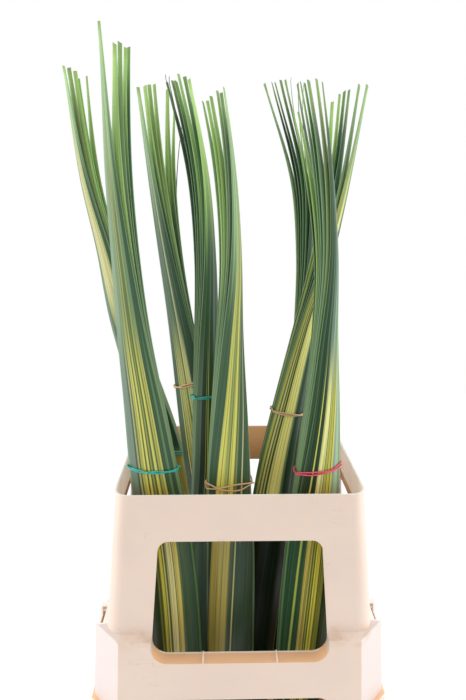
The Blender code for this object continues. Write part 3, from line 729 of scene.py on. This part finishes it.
def settings_text(details):
    """What a material is made with, as text: words, colours and whole groups of settings."""
    values = []
    for detail in details:
        names = getattr(detail, "__annotations__", None)
        values += [getattr(detail, name) for name in names] if names else [detail]
    return str(values)


def once(name, make, *details):
    """The material of that name, made when it is first asked for, and again when its settings have changed."""
    settings = settings_text(details)
    old = bpy.data.materials.get(name)
    if old is not None and old["settings"] == settings:
        return old
    made = make(name, *details)
    made["settings"] = settings
    if old is not None:
        old.user_remap(made)
        bpy.data.materials.remove(old)
        made.name = name
    return made


def link(item):
    """Show an object in the scene."""
    bpy.context.scene.collection.objects.link(item)
    return item


def remove(name):
    """Take away an earlier object of that name, so that an operator can run again."""
    old = bpy.data.objects.get(name)
    if old is not None:
        bpy.data.objects.remove(old, do_unlink=True)


def settle(piece, slot, *nodes):
    """Ride a piece on the object and let it stand for its CAD nodes."""
    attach(piece, BODY)
    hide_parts(*nodes)
    return piece


def smooth_step(value):
    """0 below 0, 1 above 1, and a smooth rise between."""
    value = min(max(value, 0.0), 1.0)
    return value * value * (3.0 - 2.0 * value)


def smooth_curve(xs, ys, x):
    """The value at x of a smooth curve through the given points."""
    last = len(xs) - 2
    i = 0
    while i < last and x > xs[i + 1]:
        i += 1

    def slope(j):
        low, high = max(j - 1, 0), min(j + 1, len(xs) - 1)
        return (ys[high] - ys[low]) / (xs[high] - xs[low])

    span = xs[i + 1] - xs[i]
    s = (x - xs[i]) / span
    start = ys[i] * (1 + 2 * s) * (1 - s) ** 2 + slope(i) * span * s * (1 - s) ** 2
    end = ys[i + 1] * s * s * (3 - 2 * s) + slope(i + 1) * span * s * s * (s - 1)
    return start + end


def corner_ring(half, z, radius, chamfered):
    """A closed outline at one height: a rectangle whose corners are round or cut straight across."""
    points = []
    for quarter in range(4):
        sign_x = 1 if quarter in (0, 3) else -1
        sign_y = 1 if quarter in (0, 1) else -1
        for step in range(CORNER_POINTS):
            part = step / (CORNER_POINTS - 1)
            if quarter in (1, 3):
                part = 1 - part
            if chamfered:
                out_x, out_y = 1 - part, part
            else:
                out_x, out_y = cos(part * pi / 2), sin(part * pi / 2)
            points.append(Vector((sign_x * (half[0] - radius + radius * out_x),
                                  sign_y * (half[1] - radius + radius * out_y), z)))
    return points


def loft(bm, rings):
    """Join each corner ring to the next with a band of faces, and give back the last one's vertices."""
    rows = [[bm.verts.new(point) for point in corner_ring(*ring)] for ring in rings]
    for upper, lower in zip(rows, rows[1:]):
        for i in range(len(upper)):
            j = (i + 1) % len(upper)
            bm.faces.new((upper[i], lower[i], lower[j], upper[j]))
    return rows[-1]


def object_from(bm, name):
    """Turn a bmesh into a named object."""
    mesh = bpy.data.meshes.new(name)
    bm.to_mesh(mesh)
    bm.free()
    return link(bpy.data.objects.new(name, mesh))


def window_prism(name, halves, z_top, z_sill, radii, reach, along_x):
    """A prism with the outline of a window and round corners, centred on the origin and lying across the part."""
    bm = bmesh.new()
    bmesh.ops.create_cube(bm, size=2.0)
    for vert in bm.verts:
        top = vert.co.z > 0
        vert.co = Vector((vert.co.x * halves[0 if top else 1], vert.co.y * reach, z_top if top else z_sill))
    middle = (z_top + z_sill) / 2
    for top, radius in ((True, radii[0]), (False, radii[1])):
        edges = [edge for edge in bm.edges
                 if abs(edge.verts[0].co.y - edge.verts[1].co.y) > reach
                 and (edge.verts[0].co.z > middle) == top]
        if radius > 0:
            bmesh.ops.bevel(bm, geom=edges, offset=radius, segments=WINDOW_CORNER_SEGMENTS, profile=0.5,
                            affect="EDGES")
    if along_x:
        bmesh.ops.rotate(bm, verts=bm.verts, matrix=Matrix.Rotation(pi / 2, 3, "Z"))
    return object_from(bm, name)


def box(name, low, high):
    """A box between two corners."""
    bm = bmesh.new()
    bmesh.ops.create_cube(bm, size=1.0)
    low, high = Vector(low), Vector(high)
    for vert in bm.verts:
        vert.co = (low + high) / 2 + Vector(a * b for a, b in zip(vert.co, high - low))
    return object_from(bm, name)


def boolean(item, tool, operation):
    """Cut, or join, one object with another."""
    step = item.modifiers.new(tool.name, "BOOLEAN")
    step.operation = operation
    step.solver = "EXACT"
    step.object = tool


def lower_windows():
    """The openings that run through the skirt's foot and the bucket's wall."""
    return [window_prism(name, (half, half), LOWER_WINDOW_TOP_Z, LOWER_WINDOW_SILL_Z,
                         (WINDOW_TOP_RADIUS, WINDOW_SILL_RADIUS), CUT_REACH, along_x)
            for name, half, along_x in (("lower_window_broad", WINDOW_BROAD[1], False),
                                        ("lower_window_narrow", WINDOW_NARROW[1], True))]


def sill_tools(item, halves, along_x, inner, outer, name):
    """Join a trough to the ledge under a pair of windows, then cut the windows. Gives back the tools."""
    tools = []
    for side in (-1, 1):
        trough = window_prism("trough_%s_%s" % (name, "pn"[side < 0]), (halves[1] + COLLAR_WALL,) * 2,
                              LEDGE_Z - TROUGH_INSET, WINDOW_SILL_Z - COLLAR_WALL,
                              (0.0, WINDOW_SILL_RADIUS + COLLAR_WALL), (outer - inner) / 2, along_x)
        middle = side * (inner + outer - TROUGH_INSET) / 2
        trough.location = (middle, 0, 0) if along_x else (0, middle, 0)
        boolean(item, trough, "UNION")
        tools.append(trough)
    window = window_prism("window_" + name, halves, WINDOW_TOP_Z, WINDOW_SILL_Z,
                          (WINDOW_TOP_RADIUS, WINDOW_SILL_RADIUS), CUT_REACH, along_x)
    boolean(item, window, "DIFFERENCE")
    return tools + [window]


def rib_tools(item, offset, along_x, inner, outer):
    """Stand two low ribs on each sill of a pair. Gives back the tools."""
    tools = []
    for side in (-1, 1):
        for place in (-offset, offset):
            near, far = sorted((side * (inner + RIB_SHIFT), side * (outer + RIB_SHIFT)))
            low = (near, place - RIB_WIDTH / 2) if along_x else (place - RIB_WIDTH / 2, near)
            high = (far, place + RIB_WIDTH / 2) if along_x else (place + RIB_WIDTH / 2, far)
            name = "rib_%s%s%s" % ("xy"[along_x], "pn"[side < 0], "pn"[place < 0])
            rib = box(name, (*low, WINDOW_SILL_Z - RIB_ROOT), (*high, WINDOW_SILL_Z + RIB_HEIGHT))
            boolean(item, rib, "UNION")
            tools.append(rib)
    return tools


def notch_tools(item):
    """Cut the low places at the ends of the ledge. Gives back the tools."""
    tools = []
    for side in (-1, 1):
        for end in (-1, 1):
            near, far = sorted((end * LEDGE_NOTCH_Y[0], end * LEDGE_NOTCH_Y[1]))
            inner, outer = sorted((side * (LEDGE_HALF[0] - LEDGE_NOTCH_DEPTH), side * CUT_REACH))
            notch = box("ledge_notch_%s%s" % ("rl"[side < 0], "bf"[end < 0]),
                        (inner, near, LEDGE_Z - LEDGE_NOTCH_DROP), (outer, far, LEDGE_Z + LEDGE_NOTCH_CLEAR))
            boolean(item, notch, "DIFFERENCE")
            tools.append(notch)
    return tools


def moulding(item, tools, look):
    """Finish a moulded shell: apply its tools, round its edges, and give its faces their plastics."""
    bevel = item.modifiers.new("edges", "BEVEL")
    bevel.width = look.edge_radius
    bevel.segments = BEVEL_SEGMENTS
    bevel.limit_method = "ANGLE"
    bevel.angle_limit = BEVEL_ANGLE
    # The rounded edges take the plastic of the painted highlight
    bevel.material = HIGHLIT_EDGE
    for kind in PLASTICS:
        item.data.materials.append(once("plastic_" + kind, plastic_material, kind, look))
    bpy.context.view_layer.update()
    shaped = bpy.data.meshes.new_from_object(item.evaluated_get(bpy.context.evaluated_depsgraph_get()))
    item.modifiers.clear()
    item.data = shaped
    for tool in tools:
        bpy.data.objects.remove(tool, do_unlink=True)
    for face in shaped.polygons:
        if face.material_index != HIGHLIT_EDGE:
            face.material_index = plastic_of(face)
    shaped.shade_smooth()
    shaped.set_sharp_from_angle(angle=SHARP_ANGLE)


def plastic_of(face):
    """Which plastic a face of the shell has. The narrow one is in the ledge's low places and inside the neck's ends."""
    # Inside plastic: painted backlight and shade. Edge plastic: painted highlight. Narrow plastic: painted glow.
    x, y, z = face.center
    normal = face.normal
    low_place_z = LEDGE_Z - LEDGE_NOTCH_DROP - COLLAR_WALL
    near, far = LEDGE_NOTCH_Y
    if abs(x) > LEDGE_HALF[0] - LEDGE_NOTCH_DEPTH - COLLAR_WALL and near - COLLAR_WALL < abs(y) < far + COLLAR_WALL:
        if z > low_place_z and abs(normal.x) < UPRIGHT_END:
            return NARROW
    # The rim's top takes the plastic of the painted highlight
    if normal.z > LEVEL and z > RIM_Z - COLLAR_WALL:
        return HIGHLIT_EDGE
    if normal.z > LEANING:
        return INSIDE if z < low_place_z else OUTSIDE
    if abs(normal.x) > abs(normal.y) and z > WINDOW_TOP_Z:
        return NARROW if normal.x * x < 0 else OUTSIDE
    if abs(x) / RIM_OUTER[0] > abs(y) / RIM_OUTER[1]:
        inwards = -normal.x * x > FACING_IN * abs(x)
    else:
        inwards = -normal.y * y > FACING_IN * abs(y)
    return INSIDE if inwards else OUTSIDE


def thicken(item, thickness, offset):
    """Give an open surface its wall."""
    wall = item.modifiers.new("wall", "SOLIDIFY")
    wall.thickness = thickness
    wall.offset = offset
    wall.use_even_offset = True


def make_bucket(look):
    """The lower container, with a turned over lip, and a low place in the middle of each wall."""
    remove("flower_bucket")
    rim_inner = tuple(half - RIM_LIP for half in RIM_OUTER)
    foot_above = tuple(half + FOOT_EDGE * 0.1 for half in BUCKET_FOOT)
    foot_inside = tuple(half - FOOT_EDGE for half in BUCKET_FOOT)
    bm = bmesh.new()
    last = loft(bm, [
        (RIM_OUTER, RIM_LIP_Z, BUCKET_TOP_CHAMFER, True),
        (RIM_OUTER, SEAT_Z, BUCKET_TOP_CHAMFER, True),
        (rim_inner, SEAT_Z, BUCKET_TOP_CHAMFER, True),
        (rim_inner, SHOULDER_Z, BUCKET_TOP_CHAMFER, True),
        (foot_above, BUCKET_WALL + FOOT_EDGE, BUCKET_FOOT_RADIUS, False),
        (foot_inside, BUCKET_WALL, BUCKET_FOOT_RADIUS - FOOT_EDGE, False),
    ])
    bm.faces.new(list(reversed(last)))
    bucket = object_from(bm, "flower_bucket")
    thicken(bucket, BUCKET_WALL, 1.0)
    tools = lower_windows()
    for tool in tools:
        boolean(bucket, tool, "DIFFERENCE")
    moulding(bucket, tools, look)
    return settle(bucket, "bucket", "bucket")


def make_collar(look):
    """The neck, the ledge and the skirt as one wall, with a window and a sill in each side."""
    remove("windowed_collar")
    line_z = RIM_Z - NECK_LINE_DROP
    share = (RIM_Z - line_z) / (RIM_Z - LEDGE_Z)
    line_half = tuple(rim + (foot - rim) * share for rim, foot in zip(RIM_HALF, NECK_FOOT_HALF))
    line_radius = RIM_RADIUS + (NECK_FOOT_RADIUS - RIM_RADIUS) * share
    bm = bmesh.new()
    loft(bm, [
        (RIM_HALF, RIM_Z, RIM_RADIUS, False),
        (tuple(half - NECK_LINE_STEP for half in line_half), line_z + NECK_LINE_HEIGHT, line_radius, False),
        (line_half, line_z, line_radius, False),
        (NECK_FOOT_HALF, LEDGE_Z, NECK_FOOT_RADIUS, False),
        (LEDGE_HALF, LEDGE_Z, LEDGE_CHAMFER, True),
        (SKIRT_HALF, COLLAR_SEAT_Z, SKIRT_CHAMFER, True),
        (TONGUE_HALF, COLLAR_SEAT_Z, SKIRT_CHAMFER, True),
        (TONGUE_HALF, SEAT_Z - TONGUE_DEPTH, SKIRT_CHAMFER, True),
    ])
    collar = object_from(bm, "windowed_collar")
    thicken(collar, COLLAR_WALL, -1.0)
    broad = (NECK_FOOT_HALF[1] - COLLAR_WALL, LEDGE_HALF[1])
    narrow = (NECK_FOOT_HALF[0] - COLLAR_WALL, LEDGE_HALF[0])
    tools = sill_tools(collar, WINDOW_BROAD, False, *broad, "broad")
    tools += sill_tools(collar, WINDOW_NARROW, True, *narrow, "narrow")
    for tool in lower_windows():
        boolean(collar, tool, "DIFFERENCE")
        tools.append(tool)
    tools += rib_tools(collar, RIB_OFFSET_BROAD, False, *broad)
    tools += rib_tools(collar, RIB_OFFSET_NARROW, True, *narrow)
    tools += notch_tools(collar)
    moulding(collar, tools, look)
    return settle(collar, "collar", "collar")


def leaf_width(bunch, tip_width, rise):
    """A leaf's width at a share of its height: widest near its middle, narrower at its foot and at its tip."""
    foot = 1 - FOOT_NARROWING * max(1 - rise / FOOT_END, 0.0) ** 2
    return tip_width + (bunch["width"] * foot - tip_width) * (1 - rise ** TAPER_POWER) ** TAPER_EASE


def fold_shape(t):
    """How far back the blade is bent: a little from its keel to its two creases, and to 1 at its edges."""
    past = abs(t) - FOLD_CREASE
    flank = (past + hypot(past, FOLD_SOFTNESS)) / 2
    return FOLD_KEEL + FOLD_SLOPES[0] * abs(t) + (FOLD_SLOPES[1] - FOLD_SLOPES[0]) * flank


def bunch_facing(bunch, z):
    """The angle a bunch has turned to the right at a height."""
    low, high = bunch["facing"]
    return radians(low + (high - low) * smooth_step((z - TURN_Z[0]) / (TURN_Z[1] - TURN_Z[0])))


def stack_place(bunch, order, z):
    """How far behind the middle of its bunch a leaf lies, measured square to the leaf."""
    spread = smooth_step((z - STACK_SPREAD_Z[0]) / (STACK_SPREAD_Z[1] - STACK_SPREAD_Z[0]))
    pitch = STACK_PITCH + (STACK_PITCH_TOP - STACK_PITCH) * spread
    return (order - (len(bunch["leaves"]) - 1) / 2) * pitch


def leaf_spine(bunch, order, z):
    """The middle of a leaf at a height, across and in depth, and the way the bunch faces there."""
    tip_x, tip_z = bunch["leaves"][order][:2]
    facing = bunch_facing(bunch, z)
    behind = stack_place(bunch, order, z)
    across = smooth_curve(PATH_Z, bunch["across"], z) - behind * sin(facing)
    depth = smooth_curve(DEPTH_Z, bunch["depth"], z) + behind * cos(facing)
    if z > FAN_START_Z:
        at_tip = smooth_curve(PATH_Z, bunch["across"], tip_z)
        at_tip -= stack_place(bunch, order, tip_z) * sin(bunch_facing(bunch, tip_z))
        across += (tip_x - at_tip) * ((z - FAN_START_Z) / (tip_z - FAN_START_Z)) ** FAN_POWER
    return across, depth, facing


def leaf_point(bunch, order, rise, t):
    """A point on a leaf's front: order counts from the front, rise goes 0 to 1 up it, t goes -1 to 1 across."""
    tip_z, tip_width = bunch["leaves"][order][1:]
    tip_turn = bunch["turn"] * (-1) ** order
    z = LEAF_FOOT_Z + rise * (tip_z - LEAF_FOOT_Z)
    across, depth, facing = leaf_spine(bunch, order, z)
    half = leaf_width(bunch, tip_width, rise) / 2
    back = FOLD_RATIO * (1 - FOLD_LOSS * rise) * half * (fold_shape(t) - FOLD_MIDDLE)
    turn = facing + radians(tip_turn) * rise ** TIP_TURN_POWER
    return Vector((across + half * t * cos(turn) - back * sin(turn),
                   depth + half * t * sin(turn) + back * cos(turn), z))


def leaf_design(letter, order, draw):
    """Which stripes a leaf has: the front leaf its bunch's own, the others a mixture."""
    if order == 0:
        return letter
    drawn = draw.choice(("wide", "plain", "plain", letter))
    return OWN_DESIGNS.get("%s%d" % (letter, order + 1), drawn)


def make_leaf(letter, order, look):
    """One blade: a grid bent to its gutter shape, with its stripes' coordinates, then given its thickness."""
    name = "screw_pine_leaf_%s%d" % (letter, order + 1)
    remove(name)
    bunch = BUNCHES[letter]
    draw = Random(name)
    cut = draw.uniform(-TIP_CUT, TIP_CUT)
    bm = bmesh.new()
    uv = bm.loops.layers.uv.new("blade")
    seed_layer = bm.verts.layers.float.new("leaf_seed")
    tip_layer = bm.verts.layers.float_vector.new("leaf_tip")
    seed = draw.random()
    tip = Vector(getattr(look, TIP_COLOURS[letter].split()[order]))
    bmesh.ops.create_grid(bm, x_segments=look.columns, y_segments=look.rows, size=1.0)
    for face in bm.faces:
        for corner in face.loops:
            corner[uv].uv = ((corner.vert.co.x + 1) / 2, (corner.vert.co.y + 1) / 2)
    for vert in bm.verts:
        t, rise = vert.co.x, (vert.co.y + 1) / 2
        vert[seed_layer] = seed
        vert[tip_layer] = tip
        vert.co = leaf_point(bunch, order, rise, t)
        vert.co.z += cut * t * smooth_step((rise - TIP_CUT_START) / (1 - TIP_CUT_START))
    leaf = object_from(bm, name)
    design = leaf_design(letter, order, draw)
    leaf.data.materials.append(once("leaf_" + design, leaf_material, design, look))
    leaf.data.shade_smooth()
    thicken(leaf, look.thickness, 0.0)
    return settle(leaf, "leaf", "leaf_%s%d" % (letter, order + 1))


def make_strands(look):
    """Thin strands torn from the edges of some leaves, one ribbon each, that stand off them towards their tips."""
    name = "torn_leaf_strands"
    remove(name)
    bm = bmesh.new()
    colours = {}
    for letter, order, t, start_z, tip_x, tip_z, colour in STRANDS:
        bunch = BUNCHES[letter]
        leaf_top = bunch["leaves"][order][1]
        colours.setdefault(colour, len(colours))
        rows = []
        for step in range(STRAND_STEPS + 1):
            part = step / STRAND_STEPS
            z = start_z + (tip_z - start_z) * part
            rise = min((z - LEAF_FOOT_Z) / (leaf_top - LEAF_FOOT_Z), 1.0)
            point = leaf_point(bunch, order, rise, t)
            point.x += (tip_x - leaf_point(bunch, order, 1.0, t).x) * part ** STRAND_POWER
            point.z = z
            half = STRAND_WIDTH[0] / 2 + (STRAND_WIDTH[1] - STRAND_WIDTH[0]) / 2 * part
            facing = bunch_facing(bunch, z) / 2
            side = Vector((cos(facing), sin(facing), 0)) * half
            rows.append((bm.verts.new(point - side), bm.verts.new(point + side)))
        for low, high in zip(rows, rows[1:]):
            bm.faces.new((low[0], low[1], high[1], high[0])).material_index = colours[colour]
    strands = object_from(bm, name)
    for colour in colours:
        strands.data.materials.append(once("strand_" + colour, strand_material, getattr(look, colour)))
    strands.data.shade_smooth()
    thicken(strands, look.thickness / 2, 0.0)
    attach(strands, BODY)


def convex_outline(points):
    """The smallest convex outline round a set of points in the plane, anticlockwise."""
    points = sorted(set(points))

    def half(run):
        chain = []
        for p in run:
            while len(chain) > 1:
                (ax, ay), (bx, by) = chain[-2], chain[-1]
                if (bx - ax) * (p[1] - ay) - (by - ay) * (p[0] - ax) > 0:
                    break
                chain.pop()
            chain.append(p)
        return chain[:-1]

    return half(points) + half(list(reversed(points)))


def spaced(outline, count):
    """Points along a closed outline, closer together where it bends."""
    size = len(outline)
    lengths = [hypot(outline[(i + 1) % size][0] - p[0], outline[(i + 1) % size][1] - p[1])
               for i, p in enumerate(outline)]
    weights = [sqrt(length) for length in lengths]
    total = sum(weights)
    made = []
    i, passed = 0, 0.0
    for step in range(count):
        goal = total * step / count
        while passed + weights[i] < goal:
            passed += weights[i]
            i += 1
        part = (goal - passed) / weights[i]
        (ax, ay), (bx, by) = outline[i], outline[(i + 1) % size]
        made.append((ax + (bx - ax) * part, ay + (by - ay) * part))
    return made


def band_outline(bunch, z, clear):
    """The taut path of a band round a bunch at one height: the outline of its leaves, moved out by its clearance."""
    points = []
    for order, leaf in enumerate(bunch["leaves"]):
        rise = (z - LEAF_FOOT_Z) / (leaf[1] - LEAF_FOOT_Z)
        for place in range(-BAND_PLACES, BAND_PLACES + 1):
            p = leaf_point(bunch, order, rise, place / BAND_PLACES)
            for step in range(BAND_CORNER_POINTS):
                angle = 2 * pi * step / BAND_CORNER_POINTS
                points.append((p.x + clear * cos(angle), p.y + clear * sin(angle)))
    return spaced(convex_outline(points), BAND_STEPS)


def make_band(letter, look, thickness):
    """A rubber band: one closed strand that goes round its bunch twice and crosses itself."""
    name = "rubber_band_" + letter
    remove(name)
    bunch = BUNCHES[letter]
    height, rise, colour, phase, crossings, wave = BANDS[letter]
    clear = BAND_CLEARANCE + thickness / 2 + look.radius
    level = band_outline(bunch, height, clear)
    middle_x = sum(p[0] for p in level) / BAND_STEPS
    middle_y = sum(p[1] for p in level) / BAND_STEPS
    shape = bpy.data.curves.new(name, "CURVE")
    shape.dimensions = "3D"
    shape.bevel_depth = look.radius
    shape.bevel_resolution = 2
    strand = shape.splines.new("POLY")
    strand.points.add(2 * BAND_STEPS - 1)
    for step in range(2 * BAND_STEPS):
        swing = (2 * crossings + 1) * pi * step / BAND_STEPS + phase
        z = height + rise * (level[step % BAND_STEPS][0] - middle_x) + wave * cos(swing)
        x, y = band_outline(bunch, z, clear)[step % BAND_STEPS]
        out = BAND_LIFT * max(sin(swing), 0.0) ** 3 / hypot(x - middle_x, y - middle_y)
        strand.points[step].co = (x + out * (x - middle_x), y + out * (y - middle_y), z, 1)
    strand.use_cyclic_u = True
    shape.materials.append(once("rubber_" + colour, rubber_material, getattr(look, colour)))
    band = link(bpy.data.objects.new(name, shape))
    return settle(band, "band_" + colour, "band_" + letter)


def make_stage(look):
    """The floor, the light all round and the camera."""
    remove("floor")
    bm = bmesh.new()
    bmesh.ops.create_grid(bm, x_segments=1, y_segments=1, size=FLOOR_HALF)
    floor = object_from(bm, "floor")
    floor.data.materials.append(once("floor_white", floor_material, look.floor))
    world = bpy.data.worlds.new("soft_light")
    world.use_nodes = True
    background = world.node_tree.nodes["Background"]
    background.inputs["Color"].default_value = (1.0, 1.0, 1.0, 1.0)
    sky = Shade(world.node_tree)
    seen = sky.node("LightPath", {})
    sky.feed(background.inputs["Strength"], look.light + seen * (1.0 - look.light))
    bpy.context.scene.world = world
    for side in (-1, 1):
        name = "side_light_" + "rl"[side < 0]
        remove(name)
        panel = bpy.data.lights.new(name, "AREA")
        panel.shape = "SQUARE"
        panel.size = SIDE_LIGHT_SIZE
        panel.energy = look.side_light
        lamp = link(bpy.data.objects.new(name, panel))
        lamp.location = (side * SIDE_LIGHT_PLACE[0], SIDE_LIGHT_PLACE[1], SIDE_LIGHT_PLACE[2])
        lamp.rotation_euler = (0, side * pi / 2, 0)
    bpy.context.scene.view_settings.view_transform = "Standard"
    remove("camera")
    lens = bpy.data.cameras.new("camera")
    lens.sensor_width = SENSOR_LONG_SIDE
    lens.lens = look.lens
    camera = link(bpy.data.objects.new("camera", lens))
    camera.matrix_world = (Matrix.Translation(CAMERA_PLACE) @ Matrix.Rotation(-CAMERA_YAW, 4, "Z")
                           @ Matrix.Rotation(pi / 2 - CAMERA_PITCH, 4, "X") @ Matrix.Rotation(CAMERA_ROLL, 4, "Z"))
    bpy.context.scene.camera = camera


class BuildBucket(bpy.types.Operator):
    """Build the flower bucket"""
    bl_idname = "screw_pine.bucket"
    bl_label = "Flower bucket"

    def execute(self, context):
        make_bucket(context.scene.bucket_look)
        return {"FINISHED"}


class BuildCollar(bpy.types.Operator):
    """Build the windowed collar that stands on the bucket"""
    bl_idname = "screw_pine.collar"
    bl_label = "Windowed collar"

    def execute(self, context):
        make_collar(context.scene.bucket_look)
        return {"FINISHED"}


class BuildBunch(bpy.types.Operator):
    """Build the leaves of one bunch"""
    bl_idname = "screw_pine.bunch"
    bl_label = "Bunch of leaves"
    letter: EnumProperty(name="Bunch", description="Which bunch to build",
                         items=[(key, "Bunch " + key, "") for key in BUNCHES])

    def execute(self, context):
        for order in range(len(BUNCHES[self.letter]["leaves"])):
            make_leaf(self.letter, order, context.scene.leaf_look)
        return {"FINISHED"}


class BuildStrands(bpy.types.Operator):
    """Build the thin strands torn from some leaves"""
    bl_idname = "screw_pine.strands"
    bl_label = "Torn strands"

    def execute(self, context):
        make_strands(context.scene.leaf_look)
        return {"FINISHED"}


class BuildBands(bpy.types.Operator):
    """Build the rubber bands round the bunches"""
    bl_idname = "screw_pine.bands"
    bl_label = "Rubber bands"

    def execute(self, context):
        for letter in BUNCHES:
            make_band(letter, context.scene.band_look, context.scene.leaf_look.thickness)
        return {"FINISHED"}


class BuildStage(bpy.types.Operator):
    """Build the floor, the light and the camera"""
    bl_idname = "screw_pine.stage"
    bl_label = "Stage"

    def execute(self, context):
        make_stage(context.scene.stage_look)
        return {"FINISHED"}


class LeavesPanel(bpy.types.Panel):
    """Everything that builds the bunches and their bucket"""
    bl_idname = "VIEW3D_PT_screw_pine"
    bl_label = "Screw pine leaves"
    bl_space_type = "VIEW_3D"
    bl_region_type = "UI"
    bl_category = "Leaves"

    def draw(self, context):
        scene = context.scene
        for look, operators in ((scene.bucket_look, (BuildBucket, BuildCollar)),
                                (scene.leaf_look, (BuildBunch, BuildStrands)),
                                (scene.band_look, (BuildBands,)), (scene.stage_look, (BuildStage,))):
            part = self.layout.box()
            for name in look.__annotations__:
                part.prop(look, name)
            for operator in operators:
                part.operator(operator.bl_idname)


CLASSES = (BucketLook, LeafLook, BandLook, StageLook, BuildBucket, BuildCollar, BuildBunch, BuildStrands, BuildBands,
           BuildStage, LeavesPanel)
LOOKS = (("bucket_look", BucketLook), ("leaf_look", LeafLook), ("band_look", BandLook), ("stage_look", StageLook))


def register():
    """Add the classes and the settings."""
    for item in CLASSES:
        bpy.utils.register_class(item)
    for name, group in LOOKS:
        setattr(bpy.types.Scene, name, PointerProperty(type=group))


def unregister():
    """Take the settings and the classes away again."""
    for name, _ in LOOKS:
        delattr(bpy.types.Scene, name)
    for item in reversed(CLASSES):
        bpy.utils.unregister_class(item)


def main():
    """Build every piece."""
    register()
    bpy.ops.screw_pine.stage()
    bpy.ops.screw_pine.bucket()
    bpy.ops.screw_pine.collar()
    for letter in BUNCHES:
        bpy.ops.screw_pine.bunch(letter=letter)
    bpy.ops.screw_pine.strands()
    bpy.ops.screw_pine.bands()


if __name__ == "__main__":
    main()
